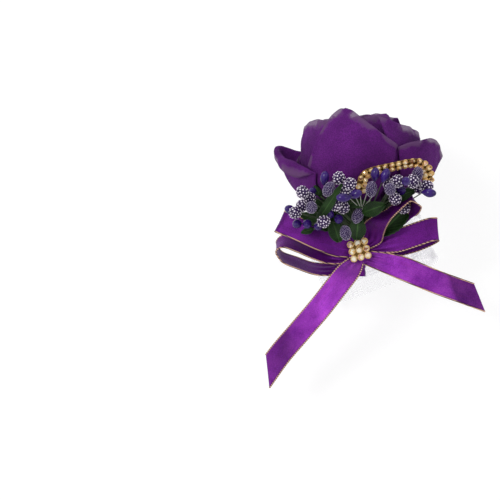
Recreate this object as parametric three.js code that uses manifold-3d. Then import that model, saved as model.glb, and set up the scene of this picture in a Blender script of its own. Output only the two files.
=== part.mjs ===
// Wrist corsage: a cloth rose with sprays of pips and leaves, a rhinestone arch and a satin
// bow, bound on one stem and glued through a wedge pad to a frilled elastic wristlet.
// Millimetres. The origin is the middle of the wrist opening, +Y runs along the arm, and +Z
// points out of the back of the wrist, through the flower.
import * as THREE from "three";
import { RoundedBoxGeometry } from "three/addons/geometries/RoundedBoxGeometry.js";
import { mergeVertices } from "three/addons/utils/BufferGeometryUtils.js";
import Module from "manifold-3d";

const wasm = await Module();
wasm.setup();

// Wristlet
const wristHalfWidth = 26;
const wristHalfHeight = 18;
const flatHalfLength = 12;
const elasticThickness = 1.1;
const elasticWidth = 13;
const frillWidth = 6.4;
const frillThickness = 0.7;
const frillWave = 1.5;
const frillWaves = 24;

// Where the flower's knot is over the wrist, and how its face is turned
const knotPlace = new THREE.Vector3(-7.5, -2, 28);
const faceTurn = -20;
const faceLift = 12;
// Places on the flower's face are shares of this length, from the knot to the rose's middle.
const flowerReach = 45.5;

// Stem, pad and knot
const stemRadius = 2.1;
const stemBelow = 12;
const stemAbove = 14.8;
const wrapThickness = 0.7;
const wrapAbove = 2.5;
const padWidth = 10;
const padLength = 9.4;
const padForward = 3;
const knotWidth = 10;
const knotHeight = 13;
const knotDepth = 2.6;
const knotRound = 1;
const collarThickness = 0.8;
const collarHeight = 6;

// Rose
const roseRadius = 25.5;
const roseHeight = 45;
const roseFoot = 19;
const roseLean = 2.5;
const petalThickness = 0.6;
const petalLayer = 1;
const petalStart = 2.2;
const roseBackShare = 0.66;
const coreRadius = 6.5;
const coreHeight = 30;
const calyxRadius = 10;
const calyxHeight = 3.6;

// Sprays and leaves
const wireRadius = 0.4;
const smoothPipRadius = 2.05;
const smoothPipLength = 6.8;
const dottedPipRadius = 2.8;
const dottedPipLength = 6.6;
const frostedPipRadius = 2.5;
const frostedPipLength = 7.6;
const leafThickness = 0.5;
const pipGap = 0.35;
const wireLayer = 1.4;
const roseRoom = 1.8;
const roseRamp = 9;
const slotSpread = 6.4;
const slotHeight = 11;
const liftStep = 0.25;

// Rhinestones
const patchPitch = 3.3;
const patchCupRadius = 1.55;
const patchMargin = 1.2;
const archPitch = 3;
const archRowPitch = 2.9;
const archCupRadius = 1.2;
const cupHeight = 1.3;
const tapeThickness = 0.8;
const tapeWidth = 5;

// Satin ribbon
const ribbonWidth = 10;
const ribbonThickness = 0.6;

// Gaps between pieces that touch, and the overrun of a cut
const touchGap = 0.3;
const seatGap = 0.4;

const degrees = THREE.MathUtils.DEG2RAD;

function material(color, roughness, metalness = 0) {
  return new THREE.MeshStandardMaterial({ color, roughness, metalness });
}

function node(name, geometry, look) {
  const mesh = new THREE.Mesh(geometry, look());
  mesh.name = name;
  return mesh;
}

const petalCloth = () => material(0x581c6e, 0.9);
const satin = () => material(0x7a1f9c, 0.35);
const leafCloth = () => material(0x23411e, 0.75);
const smoothPip = () => material(0x3c2d96, 0.25);
const dottedPip = () => material(0x241238, 0.5);
const frostedPip = () => material(0x7864a0, 0.8);
const goldStone = () => material(0xd9b36a, 0.2, 0.8);
const sheerCloth = () => material(0xf2f2ee, 0.6);
const feltPad = () => material(0xe8e4ea, 0.95);
const greenPlastic = () => material(0x3c5a34, 0.6);

// Solids from meshes, to join and cut them
function solidOf(geometry) {
  const bare = geometry.clone();
  for (const name of ["normal", "uv"]) bare.deleteAttribute(name);
  const merged = mergeVertices(bare, 1e-4);
  return new wasm.Manifold(new wasm.Mesh({
    numProp: 3,
    vertProperties: merged.attributes.position.array,
    triVerts: new Uint32Array(merged.index.array),
  }));
}

function geometryOf(solid) {
  const mesh = solid.getMesh();
  const geometry = new THREE.BufferGeometry();
  geometry.setAttribute("position", new THREE.BufferAttribute(mesh.vertProperties, 3));
  geometry.setIndex(new THREE.BufferAttribute(mesh.triVerts, 1));
  geometry.computeVertexNormals();
  return geometry;
}

function joined(geometries) {
  return geometryOf(geometries.map(solidOf).reduce((whole, piece) => whole.add(piece)));
}

function cut(geometry, cutters) {
  return geometryOf(cutters.map(solidOf).reduce((left, tool) => left.subtract(tool), solidOf(geometry)));
}

// A closed sheet whose middle surface is place(across, along), both shares from 0 to 1.
// A ringed sheet joins its last row along to its first.
function sheet(place, acrossSteps, alongSteps, thickness, ringed = false) {
  const rows = ringed ? alongSteps : alongSteps + 1;
  const step = 1e-3;
  const front = [];
  const back = [];
  for (let j = 0; j < rows; j += 1) {
    for (let i = 0; i <= acrossSteps; i += 1) {
      const u = i / acrossSteps;
      const v = j / alongSteps;
      const u0 = Math.max(u - step, 0);
      const u1 = Math.min(u + step, 1);
      const v0 = ringed ? v - step : Math.max(v - step, 0);
      const v1 = ringed ? v + step : Math.min(v + step, 1);
      const across = place(u1, v).sub(place(u0, v));
      const along = place(u, v1).sub(place(u, v0));
      const normal = across.cross(along).normalize().multiplyScalar(thickness / 2);
      const middle = place(u, v);
      front.push(...middle.clone().add(normal));
      back.push(...middle.sub(normal));
    }
  }
  const width = acrossSteps + 1;
  const other = rows * width;
  const at = (i, j) => (j % rows) * width + i;
  const faces = [];
  const quad = (a, b, c, d) => faces.push(a, b, c, a, c, d);
  for (let j = 0; j < alongSteps; j += 1) {
    for (let i = 0; i < acrossSteps; i += 1) {
      const [a, b, c, d] = [at(i, j), at(i + 1, j), at(i + 1, j + 1), at(i, j + 1)];
      quad(a, b, c, d);
      quad(other + a, other + d, other + c, other + b);
    }
    quad(at(0, j), at(0, j + 1), other + at(0, j + 1), other + at(0, j));
    quad(at(acrossSteps, j + 1), at(acrossSteps, j), other + at(acrossSteps, j),
      other + at(acrossSteps, j + 1));
  }
  for (let i = 0; i < acrossSteps && !ringed; i += 1) {
    const end = alongSteps;
    quad(at(i + 1, 0), at(i, 0), other + at(i, 0), other + at(i + 1, 0));
    quad(at(i, end), at(i + 1, end), other + at(i + 1, end), other + at(i, end));
  }
  const geometry = new THREE.BufferGeometry();
  geometry.setAttribute("position", new THREE.Float32BufferAttribute([...front, ...back], 3));
  geometry.setIndex(faces);
  geometry.computeVertexNormals();
  return geometry;
}

// A round or many-sided rod along a line of points
function rod(points, radius, sides, steps) {
  const section = new THREE.Shape();
  for (let k = 0; k < sides; k += 1) {
    const turn = (k / sides) * Math.PI * 2;
    section.lineTo(radius * Math.cos(turn), radius * Math.sin(turn));
  }
  section.curves.shift();
  section.autoClose = true;
  return new THREE.ExtrudeGeometry(section, {
    steps,
    extrudePath: new THREE.CatmullRomCurve3(points),
  });
}

// A smooth value between evenly spaced ones
function between(values, share) {
  const reach = Math.min(Math.max(share, 0), 1) * (values.length - 1);
  const k = Math.min(Math.floor(reach), values.length - 2);
  const t = reach - k;
  const [p, q] = [values[k], values[k + 1]];
  const before = k > 0 ? values[k - 1] : 2 * p - q;
  const after = k + 2 < values.length ? values[k + 2] : 2 * q - p;
  const rise = (q - before) / 2;
  const fall = (after - p) / 2;
  const bend = 2 * (p - q) + rise + fall;
  return p + t * (rise + t * (3 * (q - p) - 2 * rise - fall + t * bend));
}

function facePoint(x, y, z) {
  return new THREE.Vector3(x, y, z).multiplyScalar(flowerReach);
}

// Wristlet
const wristOutline = (grow, share) => {
  const half = wristHalfWidth - flatHalfLength + grow;
  const quarter = Math.PI / 2;
  const arc = quarter * (half + wristHalfHeight + grow) / 2;
  const around = 4 * (flatHalfLength + arc);
  let run = (((share % 1) + 1) % 1) * around;
  const stretches = [
    [flatHalfLength, (s) => [s * flatHalfLength, 1, 0]],
    [arc, (s) => [flatHalfLength, Math.cos(s * quarter), Math.sin(s * quarter)]],
    [arc, (s) => [flatHalfLength, -Math.sin(s * quarter), Math.cos(s * quarter)]],
    [2 * flatHalfLength, (s) => [flatHalfLength * (1 - 2 * s), -1, 0]],
    [arc, (s) => [-flatHalfLength, -Math.cos(s * quarter), -Math.sin(s * quarter)]],
    [arc, (s) => [-flatHalfLength, Math.sin(s * quarter), -Math.cos(s * quarter)]],
    [flatHalfLength, (s) => [flatHalfLength * (s - 1), 1, 0]],
  ];
  for (const [length, spot] of stretches) {
    if (run <= length) {
      const [x, up, out] = spot(run / length);
      return [x + half * out, (wristHalfHeight + grow) * up];
    }
    run -= length;
  }
  return [0, wristHalfHeight + grow];
};

function elasticBand() {
  const outline = new THREE.Shape();
  const hole = new THREE.Path();
  for (const [path, grow] of [[outline, elasticThickness], [hole, 0]]) {
    const half = wristHalfWidth - flatHalfLength + grow;
    const high = wristHalfHeight + grow;
    path.moveTo(-flatHalfLength, -high);
    path.lineTo(flatHalfLength, -high);
    path.absellipse(flatHalfLength, 0, half, high, -Math.PI / 2, Math.PI / 2);
    path.lineTo(-flatHalfLength, high);
    path.absellipse(-flatHalfLength, 0, half, high, Math.PI / 2, Math.PI * 1.5);
  }
  outline.holes.push(hole);
  const band = new THREE.ExtrudeGeometry(outline, {
    depth: elasticWidth, bevelEnabled: false, curveSegments: 12,
  });
  return band.translate(0, 0, -elasticWidth / 2).rotateX(Math.PI / 2);
}

// A gathered frill on one edge of the elastic: its waves grow from the seam to the free edge.
function frill(side) {
  const seam = elasticWidth / 2 + touchGap;
  const place = (across, along) => {
    const wave = Math.sin(along * frillWaves * Math.PI * 2) * frillWave * across;
    const [x, z] = wristOutline(elasticThickness / 2 + wave, along);
    return new THREE.Vector3(x, side * (seam + frillWidth * across), z);
  };
  const turned = (across, along) => place(across, side > 0 ? along : -along);
  return sheet(turned, 1, frillWaves * 3, frillThickness, true);
}

function wristlet() {
  const group = new THREE.Group();
  group.add(node("wristlet_elastic", elasticBand(), sheerCloth));
  group.add(node("wristlet_frill_front", frill(-1), sheerCloth));
  group.add(node("wristlet_frill_back", frill(1), sheerCloth));
  return group;
}

const wrapInner = stemRadius + touchGap;
const wrapOuter = wrapInner + wrapThickness;
const collarOuter = wrapOuter + touchGap + collarThickness;

// The pad fills the wedge between the wristlet's flat top and the knot's underside.
function wedgePad() {
  const seat = wristHalfHeight + elasticThickness + touchGap;
  const rise = Math.tan(faceLift * degrees);
  const below = (collarOuter + touchGap) / Math.cos(faceLift * degrees);
  const height = (run) => knotPlace.z + rise * run - below - seat;
  const [low, high] = [padForward - padLength / 2, padForward + padLength / 2];
  const side = new THREE.Shape();
  side.moveTo(low, 0);
  side.lineTo(high, 0);
  side.lineTo(high, height(high));
  side.lineTo(low, height(low));
  const wedge = new THREE.ExtrudeGeometry(side, { depth: padWidth, bevelEnabled: false });
  wedge.translate(0, 0, -padWidth / 2);
  wedge.rotateX(Math.PI / 2).rotateZ((90 + faceTurn) * degrees);
  return wedge.translate(knotPlace.x, knotPlace.y, seat);
}

// Stem, its ribbon wrap and the bow's knot
function ring(inner, outer, from, to, segments) {
  const profile = [[inner, from], [outer, from], [outer, to], [inner, to], [inner, from]];
  return new THREE.LatheGeometry(profile.map(([r, h]) => new THREE.Vector2(r, h)), segments);
}

function stemRod() {
  const length = stemBelow + stemAbove;
  const stem = new THREE.CylinderGeometry(stemRadius, stemRadius, length, 14);
  return stem.translate(0, (stemAbove - stemBelow) / 2, 0);
}

const knotBack = wrapOuter + touchGap + collarThickness / 2;
const knotFront = knotBack + knotDepth;

function knotBlock(grow) {
  const block = new RoundedBoxGeometry(
    knotWidth + 2 * grow, knotHeight + 2 * grow, knotDepth + 2 * grow, 1, knotRound);
  return block.translate(0, 0, (knotBack + knotFront) / 2);
}

function knotCollar(grow) {
  const inner = wrapOuter + touchGap - grow;
  return ring(inner, collarOuter + grow, -collarHeight / 2 - grow, collarHeight / 2 + grow, 18);
}

function knotPieces() {
  const group = new THREE.Group();
  group.add(node("stem", stemRod(), greenPlastic));
  const wrap = ring(wrapInner, wrapOuter, -stemBelow, wrapAbove, 18);
  group.add(node("stem_ribbon_wrap", wrap, satin));
  group.add(node("bow_knot", joined([knotBlock(0), knotCollar(0)]), satin));
  return group;
}

// Rhinestones in cups on a backing
function cup(radius) {
  const shell = new THREE.CylinderGeometry(radius * 0.8, radius, cupHeight, 6);
  return shell.rotateX(Math.PI / 2);
}

const patchTurn = 14;

function stonePatch() {
  const side = 2 * patchPitch + 2 * patchMargin;
  const plate = new RoundedBoxGeometry(side, side, tapeThickness, 1, tapeThickness / 3);
  const pieces = [plate];
  for (const column of [-1, 0, 1]) {
    for (const row of [-1, 0, 1]) {
      const stone = cup(patchCupRadius);
      stone.translate(column * patchPitch, row * patchPitch, cupHeight / 2);
      pieces.push(stone);
    }
  }
  const patch = joined(pieces).rotateZ(patchTurn * degrees);
  return patch.translate(0, 0, knotFront + touchGap + tapeThickness / 2);
}

// The arch's middle line and the tilt of its tape, as shares: x, y, z, then degrees of face
// turn about the line.
const archPlaceShares = [
  [0.01, 0.56, 0.57],
  [0.01, 0.67, 0.635],
  [0.05, 0.75, 0.64],
  [0.12, 0.785, 0.655],
  [0.24, 0.815, 0.66],
  [0.36, 0.84, 0.655],
  [0.48, 0.865, 0.64],
  [0.575, 0.865, 0.6],
  [0.645, 0.825, 0.54],
  [0.68, 0.75, 0.48],
  [0.67, 0.67, 0.405],
  [0.665, 0.655, 0.365],
];
const archFaceTurns = [20, 30, 42, 50, 52, 52, 52, 45, 25, 5, -10, -20];

function archFrame(share) {
  const line = new THREE.CatmullRomCurve3(archPlaceShares.map((p) => facePoint(...p)));
  const spot = line.getPointAt(share);
  const ahead = line.getTangentAt(share);
  const flat = new THREE.Vector3(ahead.y, -ahead.x, 0).normalize();
  const turn = between(archFaceTurns, share) * degrees;
  const across = flat.applyAxisAngle(ahead, turn);
  return { spot, ahead, across, length: line.getLength() };
}

function stoneArch() {
  const tape = sheet((across, along) => {
    const { spot, across: side } = archFrame(along);
    return spot.addScaledVector(side, (across - 0.5) * tapeWidth);
  }, 1, 22, tapeThickness);
  const columns = Math.floor(archFrame(0).length / archPitch);
  const pieces = [tape];
  for (let k = 0; k < columns; k += 1) {
    const { spot, ahead, across } = archFrame((k + 0.5) / columns);
    const out = new THREE.Vector3().crossVectors(across, ahead);
    for (const side of [-0.5, 0.5]) {
      const stone = cup(archCupRadius);
      const turned = new THREE.Matrix4().makeBasis(across, ahead, out);
      const place = spot.clone().addScaledVector(across, side * archRowPitch);
      place.addScaledVector(out, cupHeight / 2);
      stone.applyMatrix4(turned.setPosition(place));
      pieces.push(stone);
    }
  }
  return joined(pieces);
}

// Rose petals: each follows a cup around the rose's axis, height by height.
const cupProfileShares = [0.35, 0.66, 0.83, 0.92, 0.965, 0.985, 0.98, 0.96, 0.9, 0.8, 0.66];

// turn and spread are degrees about the rose's axis, from the face's side towards +X.
// rimShares: heights at five places across, as shares of the rose's height. slide: how many
// layers the two edges step in or out. The foot, the flare, and a lip's drop and roll are
// shares of the rose's radius: how far out the petal starts and its rim leans, and how far its
// lip then falls and rolls out.
const plainShares = [0, 0, 0, 0, 0];
const petals = [
  { name: "rose_petal_inner_1", turn: 20, spread: 72, footShare: 0.19, fillShare: 0.44,
    rimShares: [0.84, 0.9, 0.93, 0.9, 0.82], slide: [0.8, -0.8], flareShares: plainShares },
  { name: "rose_petal_inner_2", turn: 140, spread: 72, footShare: 0.19, fillShare: 0.44,
    rimShares: [0.84, 0.9, 0.92, 0.9, 0.84], slide: [0.8, -0.8], flareShares: plainShares },
  { name: "rose_petal_inner_3", turn: 260, spread: 72, footShare: 0.19, fillShare: 0.44,
    rimShares: [0.84, 0.89, 0.94, 0.9, 0.82], slide: [0.8, -0.8], flareShares: plainShares },
  { name: "rose_petal_middle_1", turn: 60, spread: 70, footShare: 0.275, fillShare: 0.74,
    rimShares: [0.84, 0.93, 0.94, 0.9, 0.8], slide: [0.8, -0.8], flareShares: plainShares },
  { name: "rose_petal_middle_2", turn: 180, spread: 70, footShare: 0.275, fillShare: 0.74,
    rimShares: [0.8, 0.88, 0.92, 0.88, 0.8], slide: [0.8, -0.8], flareShares: plainShares },
  { name: "rose_petal_middle_3", turn: 300, spread: 70, footShare: 0.275, fillShare: 0.74,
    rimShares: [0.8, 0.89, 0.91, 0.9, 0.84], slide: [0.8, -0.8], flareShares: plainShares },
  { name: "rose_petal_front", turn: -6, spread: 46, footShare: 0.48, fillShare: 0.96,
    rimShares: [0.45, 0.94, 0.985, 0.8, 0.61], slide: [0, 0], flareShares: plainShares },
  { name: "rose_petal_left", turn: -85, spread: 50, footShare: 0.42, fillShare: 0.94,
    rimShares: [0.7, 0.8, 0.855, 0.9, 0.87], slide: [0.4, -1.9],
    flareShares: plainShares },
  { name: "rose_petal_right", turn: 81, spread: 52, footShare: 0.385, fillShare: 1,
    rimShares: [0.91, 0.83, 0.77, 0.67, 0.57], slide: [-1.3, 1.4],
    flareShares: [0.04, 0.03, 0.07, 0.14, 0.1] },
  { name: "rose_petal_back", turn: 173, spread: 61, footShare: 0.37, fillShare: 1,
    rimShares: [0.89, 0.93, 0.93, 0.84, 0.74], slide: [-0.7, -0.7], flareShares: plainShares },
  { name: "rose_petal_outer_left", turn: -85, spread: 43, footShare: 0.52, fillShare: 0.96,
    rimShares: [0.59, 0.65, 0.55, 0.47, 0.365], slide: [0.4, 0.4],
    flareShares: [0.14, 0.29, 0.145, 0, 0], dropShares: [0, 0.02, 0.14, 0.23, 0],
    rollShares: [0, 0.08, 0.135, 0.1, 0] },
  { name: "rose_petal_outer_right", turn: 80, spread: 37, footShare: 0.45, fillShare: 1,
    rimShares: [0.6, 0.655, 0.655, 0.51, 0.355], slide: [-0.8, 1.7],
    flareShares: [0, 0.19, 0.32, 0.405, 0.4] },
  { name: "rose_petal_outer_back_left", turn: -150, spread: 42, footShare: 0.505, fillShare: 1,
    rimShares: [0.5, 0.66, 0.7, 0.6, 0.44], slide: [1, 0.4],
    flareShares: [0, 0.01, 0.02, 0.02, 0] },
  { name: "rose_petal_outer_back_right", turn: 148, spread: 42, footShare: 0.505, fillShare: 1,
    rimShares: [0.46, 0.64, 0.7, 0.64, 0.5], slide: [0.4, -0.6],
    flareShares: [0.14, 0.1, 0.04, 0.01, 0] },
];
const lipStartShare = 0.72;
const narrowShare = 0.55;

function petalPlace(petal, across, along) {
  const rise = Math.min(along / lipStartShare, 1);
  const lip = Math.max((along - lipStartShare) / (1 - lipStartShare), 0);
  const hasLip = Boolean(petal.dropShares);
  const climb = hasLip ? rise : along;
  const rim = between(petal.rimShares, across) * roseHeight;
  const opening = narrowShare + (1 - narrowShare) * Math.sqrt(climb);
  const turn = (petal.turn + petal.spread * (2 * across - 1) * opening) * degrees;
  let height = petalStart + (rim - petalStart) * climb;
  const growth = between(cupProfileShares, height / roseHeight) - cupProfileShares[0];
  const slide = petal.slide[0] + (petal.slide[1] - petal.slide[0]) * across;
  let radius = (petal.footShare + petal.fillShare * growth) * roseRadius + slide * petalLayer;
  radius += between(petal.flareShares, across) * roseRadius * climb ** 0.6;
  if (hasLip) {
    radius += between(petal.rollShares, across) * roseRadius * Math.sin(lip * Math.PI / 2);
    height -= between(petal.dropShares, across) * roseRadius * lip * lip;
    height += between(petal.rollShares, across) * roseRadius * lip * (1 - lip);
  }
  const depth = radius * Math.cos(turn);
  return new THREE.Vector3(radius * Math.sin(turn), height, depth < 0 ? depth * roseBackShare : depth);
}

// How far the rose's front petal stands in front of the stem at a place on the face, in shares
function roseFrontShare(x, y) {
  const petal = petals.find(({ name }) => name === "rose_petal_front");
  const height = Math.min(Math.max(y * flowerReach - roseFoot, petalStart), roseHeight);
  const growth = between(cupProfileShares, height / roseHeight) - cupProfileShares[0];
  const radius = (petal.footShare + petal.fillShare * growth) * roseRadius + petalLayer;
  const side = Math.min(Math.abs(x * flowerReach), radius);
  const ramp = THREE.MathUtils.smoothstep(
    y * flowerReach, roseFoot - roseRamp, roseFoot + petalStart);
  return ramp * Math.sqrt(radius * radius - side * side) / flowerReach;
}

function lathe(profile, segments) {
  return new THREE.LatheGeometry(profile.map(([r, h]) => new THREE.Vector2(r, h)), segments);
}

function rose() {
  const group = new THREE.Group();
  group.position.y = roseFoot;
  group.rotation.z = roseLean * degrees;
  const core = [
    [0, petalStart], [coreRadius * 0.55, petalStart], [coreRadius * 0.8, coreHeight * 0.3],
    [coreRadius, coreHeight * 0.62], [coreRadius * 0.6, coreHeight * 0.92], [0, coreHeight],
  ];
  group.add(node("rose_core", lathe(core, 12), petalCloth));
  const foot = petalStart - touchGap - petalThickness / 2;
  const calyx = [
    [0, foot - calyxHeight], [stemRadius * 1.4, foot - calyxHeight],
    [calyxRadius * 0.6, foot - calyxHeight * 0.6], [calyxRadius, foot - calyxHeight * 0.15],
    [calyxRadius, foot], [0, foot],
  ];
  group.add(node("rose_calyx", lathe(calyx, 16), greenPlastic));
  for (const petal of petals) {
    const place = (across, along) => petalPlace(petal, across, along);
    group.add(node(petal.name, sheet(place, 8, 5, petalThickness), petalCloth));
  }
  return group;
}

// Sprays: each sprig's wires run from one slot beside the stem, along the rose and the bow,
// and each rises behind its pip. A pip is x, y as shares, its tilt in degrees, and how far it
// is seen from its side (1) and not from its end (0). Pips are listed from the back to the
// front: each rests on the ones before it.
const sprigs = [
  { name: "pips_smooth_left", kind: "smooth", slotShare: -0.95, layer: 0,
    pipShares: [[-0.69, 0.4, 160, 0.6], [-0.62, 0.26, 200, 0.3], [-0.52, 0.26, 250, 0.3],
      [-0.41, 0.24, 250, 0.3]] },
  { name: "pips_smooth_inner_left", kind: "smooth", slotShare: -0.42, layer: 0.5,
    pipShares: [[-0.46, 0.57, 100, 0.5], [-0.35, 0.71, 82, 0.95]] },
  { name: "pips_smooth_right", kind: "smooth", slotShare: 0.35, layer: 0,
    pipShares: [[0.147, 0.745, 85, 0.95], [0.245, 0.735, 68, 1]] },
  { name: "pips_dotted_left", kind: "dotted", slotShare: -0.9, layer: 1,
    pipShares: [[-0.57, 0.44, 160, 0.3], [-0.5, 0.51, 120, 0.3], [-0.57, 0.57, 110, 0.5],
      [-0.64, 0.37, 180, 0.3]] },
  { name: "pips_dotted_middle", kind: "dotted", slotShare: -0.15, layer: 0,
    pipShares: [[-0.14, 0.58, 180, 0.5], [-0.21, 0.71, 80, 0.6], [-0.1, 0.65, 60, 0.5]] },
  { name: "pips_dotted_right", kind: "dotted", slotShare: 0.55, layer: 0.5,
    pipShares: [[0.29, 0.65, 120, 0.5], [0.37, 0.68, 90, 0.5]] },
  { name: "pips_frosted_left", kind: "frosted", slotShare: -0.7, layer: 2,
    pipShares: [[-0.31, 0.6, 60, 0.9], [-0.48, 0.42, 80, 0.4]] },
  { name: "pips_frosted_right", kind: "frosted", slotShare: 0.7, layer: 2,
    pipShares: [[0.11, 0.6, 85, 0.9], [0.57, 0.75, 80, 0.8], [0.295, 0.6, 80, 0.4]] },
  { name: "pips_dotted_outer_right", kind: "dotted", slotShare: 0.95, layer: 1.5,
    pipShares: [[0.52, 0.68, 90, 0.9], [0.595, 0.62, 40, 0.4], [0.66, 0.63, 10, 0.8]] },
  { name: "pips_smooth_outer_right", kind: "smooth", slotShare: 0.85, layer: 0,
    pipShares: [[0.41, 0.585, 40, 0.5], [0.45, 0.675, 90, 0.3], [0.68, 0.565, 355, 1]] },
  { name: "pips_smooth_middle", kind: "smooth", slotShare: -0.1, layer: 1.5,
    pipShares: [[-0.05, 0.55, 20, 0.9], [-0.165, 0.515, 178, 1]] },
  { name: "pips_dotted_low_right", kind: "dotted", slotShare: 1, layer: 2.8,
    pipShares: [[0.44, 0.42, 60, 0.4], [0.35, 0.505, 60, 0.2]] },
  { name: "pips_smooth_low", kind: "smooth", slotShare: -0.6, layer: 2.5,
    pipShares: [[-0.21, 0.31, 280, 0.4], [-0.3, 0.355, 120, 0.3]] },
  { name: "pips_dotted_low", kind: "dotted", slotShare: -0.3, layer: 2.8,
    pipShares: [[-0.165, 0.42, 60, 0.4], [-0.245, 0.45, 120, 0.5], [-0.36, 0.28, 200, 0.5]] },
  { name: "pip_frosted_low", kind: "frosted", slotShare: -0.4, layer: 2,
    pipShares: [[-0.14, 0.17, 100, 0.8]] },
  { name: "pip_frosted_centre", kind: "frosted", slotShare: -0.1, layer: 2.5,
    pipShares: [[-0.02, 0.34, 70, 0.95]] },
];

const pipKinds = {
  smooth: { radius: smoothPipRadius, length: smoothPipLength, look: smoothPip },
  dotted: { radius: dottedPipRadius, length: dottedPipLength, look: dottedPip },
  frosted: { radius: frostedPipRadius, length: frostedPipLength, look: frostedPip },
};

// How much of the arch's width the pips keep clear of, from its middle line
const archRoomShare = 0.35;

const wireLevelShares = { left: 0.31, right: 0.1 };
const pipLiftShare = (x, y) => 0.3 + 0.5 * (y - 0.18) - 0.2 * x * x;

// How far from the stem the wires run at a place on the face, in shares
function wireLevelShare(x, y) {
  const side = THREE.MathUtils.smoothstep(x, -0.06, 0.08);
  const low = THREE.MathUtils.lerp(wireLevelShares.left, wireLevelShares.right, side);
  return Math.max(low, roseFrontShare(x, y) + roseRoom / flowerReach);
}

// The middles of the balls that fill a pip: its two ends and its middle
function pipBalls({ centre, axis, radius, length }) {
  const reach = length / 2 - radius;
  return [-reach, 0, reach].map((run) => centre.clone().addScaledVector(axis, run));
}

// Lifts a pip from where it would lie alone to the first height where it clears the others.
function settle(pip, placed) {
  const balls = pipBalls(pip);
  const near = placed.filter(({ spot, radius }) => balls.some((ball) => (
    Math.hypot(ball.x - spot.x, ball.y - spot.y) < pip.radius + radius + pipGap)));
  const clear = (lift) => balls.every((ball) => near.every(({ spot, radius }) => (
    Math.hypot(ball.x - spot.x, ball.y - spot.y, ball.z + lift - spot.z)
      >= pip.radius + radius + pipGap)));
  let lift = 0;
  while (!clear(lift)) lift += liftStep;
  pip.centre.z += lift;
}

function pipBody({ centre, axis, radius, length }, grow) {
  const ball = new THREE.SphereGeometry(radius + grow, 7, 5);
  ball.scale(1, (length / 2 + grow) / (radius + grow), 1);
  ball.applyQuaternion(new THREE.Quaternion().setFromUnitVectors(new THREE.Vector3(0, 1, 0), axis));
  return ball.translate(...centre);
}

function placePips(placed) {
  const settled = new Map();
  for (const { name, kind, pipShares } of sprigs) {
    const { radius, length } = pipKinds[kind];
    settled.set(name, pipShares.map(([x, y, tilt, side]) => {
      const turn = tilt * degrees;
      const away = Math.sqrt(Math.max(1 - side * side, 0.02));
      const axis = new THREE.Vector3(Math.cos(turn) * side, Math.sin(turn) * side, away).normalize();
      const clear = (radius + pipGap + 3 * wireLayer) / flowerReach;
      const lift = Math.max(pipLiftShare(x, y), wireLevelShare(x, y) + clear);
      const pip = { centre: facePoint(x, y, lift), axis, radius, length };
      settle(pip, placed);
      placed.push(...pipBalls(pip).map((spot) => ({ spot, radius })));
      return pip;
    }));
  }
  return settled;
}

function pipWire(start, pip, layer, grow) {
  const foot = pip.centre.clone().addScaledVector(pip.axis, -pip.length * 0.3);
  const at = (share) => {
    const spot = start.clone().lerp(foot, share);
    const level = wireLevelShare(spot.x / flowerReach, spot.y / flowerReach) * flowerReach;
    spot.z = level + layer * wireLayer;
    return spot;
  };
  return rod([start, at(0.25), at(0.5), at(0.75), at(0.93), foot], wireRadius + grow, 4, 6);
}

function sprig({ slotShare, layer }, pips, grow = 0) {
  const start = new THREE.Vector3(slotSpread * slotShare, slotHeight, 0);
  const [x, y] = [start.x / flowerReach, start.y / flowerReach];
  start.z = wireLevelShare(x, y) * flowerReach + (layer - 1) * wireLayer;
  return joined(pips.flatMap((pip) => [pipBody(pip, grow), pipWire(start, pip, layer, grow)]));
}

// Every sprig, grown by the gap that other pieces keep to it
function allSprigs(grow) {
  const archBalls = Array.from({ length: 19 }, (_, k) => archFrame(k / 18).spot)
    .map((spot) => ({ spot, radius: tapeWidth * archRoomShare }));
  const settled = placePips(archBalls);
  return sprigs.map((one) => sprig(one, settled.get(one.name), grow));
}

function sprays() {
  const group = new THREE.Group();
  allSprigs(0).forEach((body, k) => {
    group.add(node(sprigs[k].name, body, pipKinds[sprigs[k].kind].look));
  });
  return group;
}

// Leaves: base and tip as x, y, z shares, then the blade's width as a share.
const leaves = [
  { name: "leaf_long", baseShares: [-0.43, 0.27, 0.5], tipShares: [-0.18, 0.65, 0.86],
    widthShare: 0.1 },
  { name: "leaf_left_small", baseShares: [-0.385, 0.53, 0.47], tipShares: [-0.45, 0.64, 0.5],
    widthShare: 0.06 },
  { name: "leaf_left_low", baseShares: [-0.46, 0.21, 0.325], tipShares: [-0.58, 0.17, 0.32],
    widthShare: 0.07 },
  { name: "leaf_oval_low", baseShares: [-0.2, 0.08, 0.36], tipShares: [-0.28, 0.33, 0.395],
    widthShare: 0.15 },
  { name: "leaf_centre", baseShares: [-0.03, 0.1, 0.33], tipShares: [-0.01, 0.34, 0.4],
    widthShare: 0.17 },
  { name: "leaf_dark", baseShares: [0.09, 0.46, 0.45], tipShares: [-0.2, 0.46, 0.46],
    widthShare: 0.09 },
  { name: "leaf_right_oval", baseShares: [0.03, 0.37, 0.48], tipShares: [0.25, 0.45, 0.66],
    widthShare: 0.15 },
  { name: "leaf_right_back", baseShares: [0.3, 0.5, 0.47], tipShares: [0.56, 0.6, 0.49],
    widthShare: 0.12 },
  { name: "leaf_in_loop", baseShares: [0.2, 0.17, 0.2], tipShares: [0.54, 0.49, 0.25],
    widthShare: 0.16 },
  { name: "leaf_under_left", baseShares: [-0.17, 0.22, 0.2], tipShares: [-0.6, 0.36, 0.21],
    widthShare: 0.17 },
  { name: "leaf_under_middle", baseShares: [-0.1, 0.25, 0.1], tipShares: [-0.3, 0.44, 0.14],
    widthShare: 0.17 },
  { name: "leaf_under_right", baseShares: [0.14, 0.3, 0.05], tipShares: [0.4, 0.44, 0.1],
    widthShare: 0.17 },
];

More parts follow.
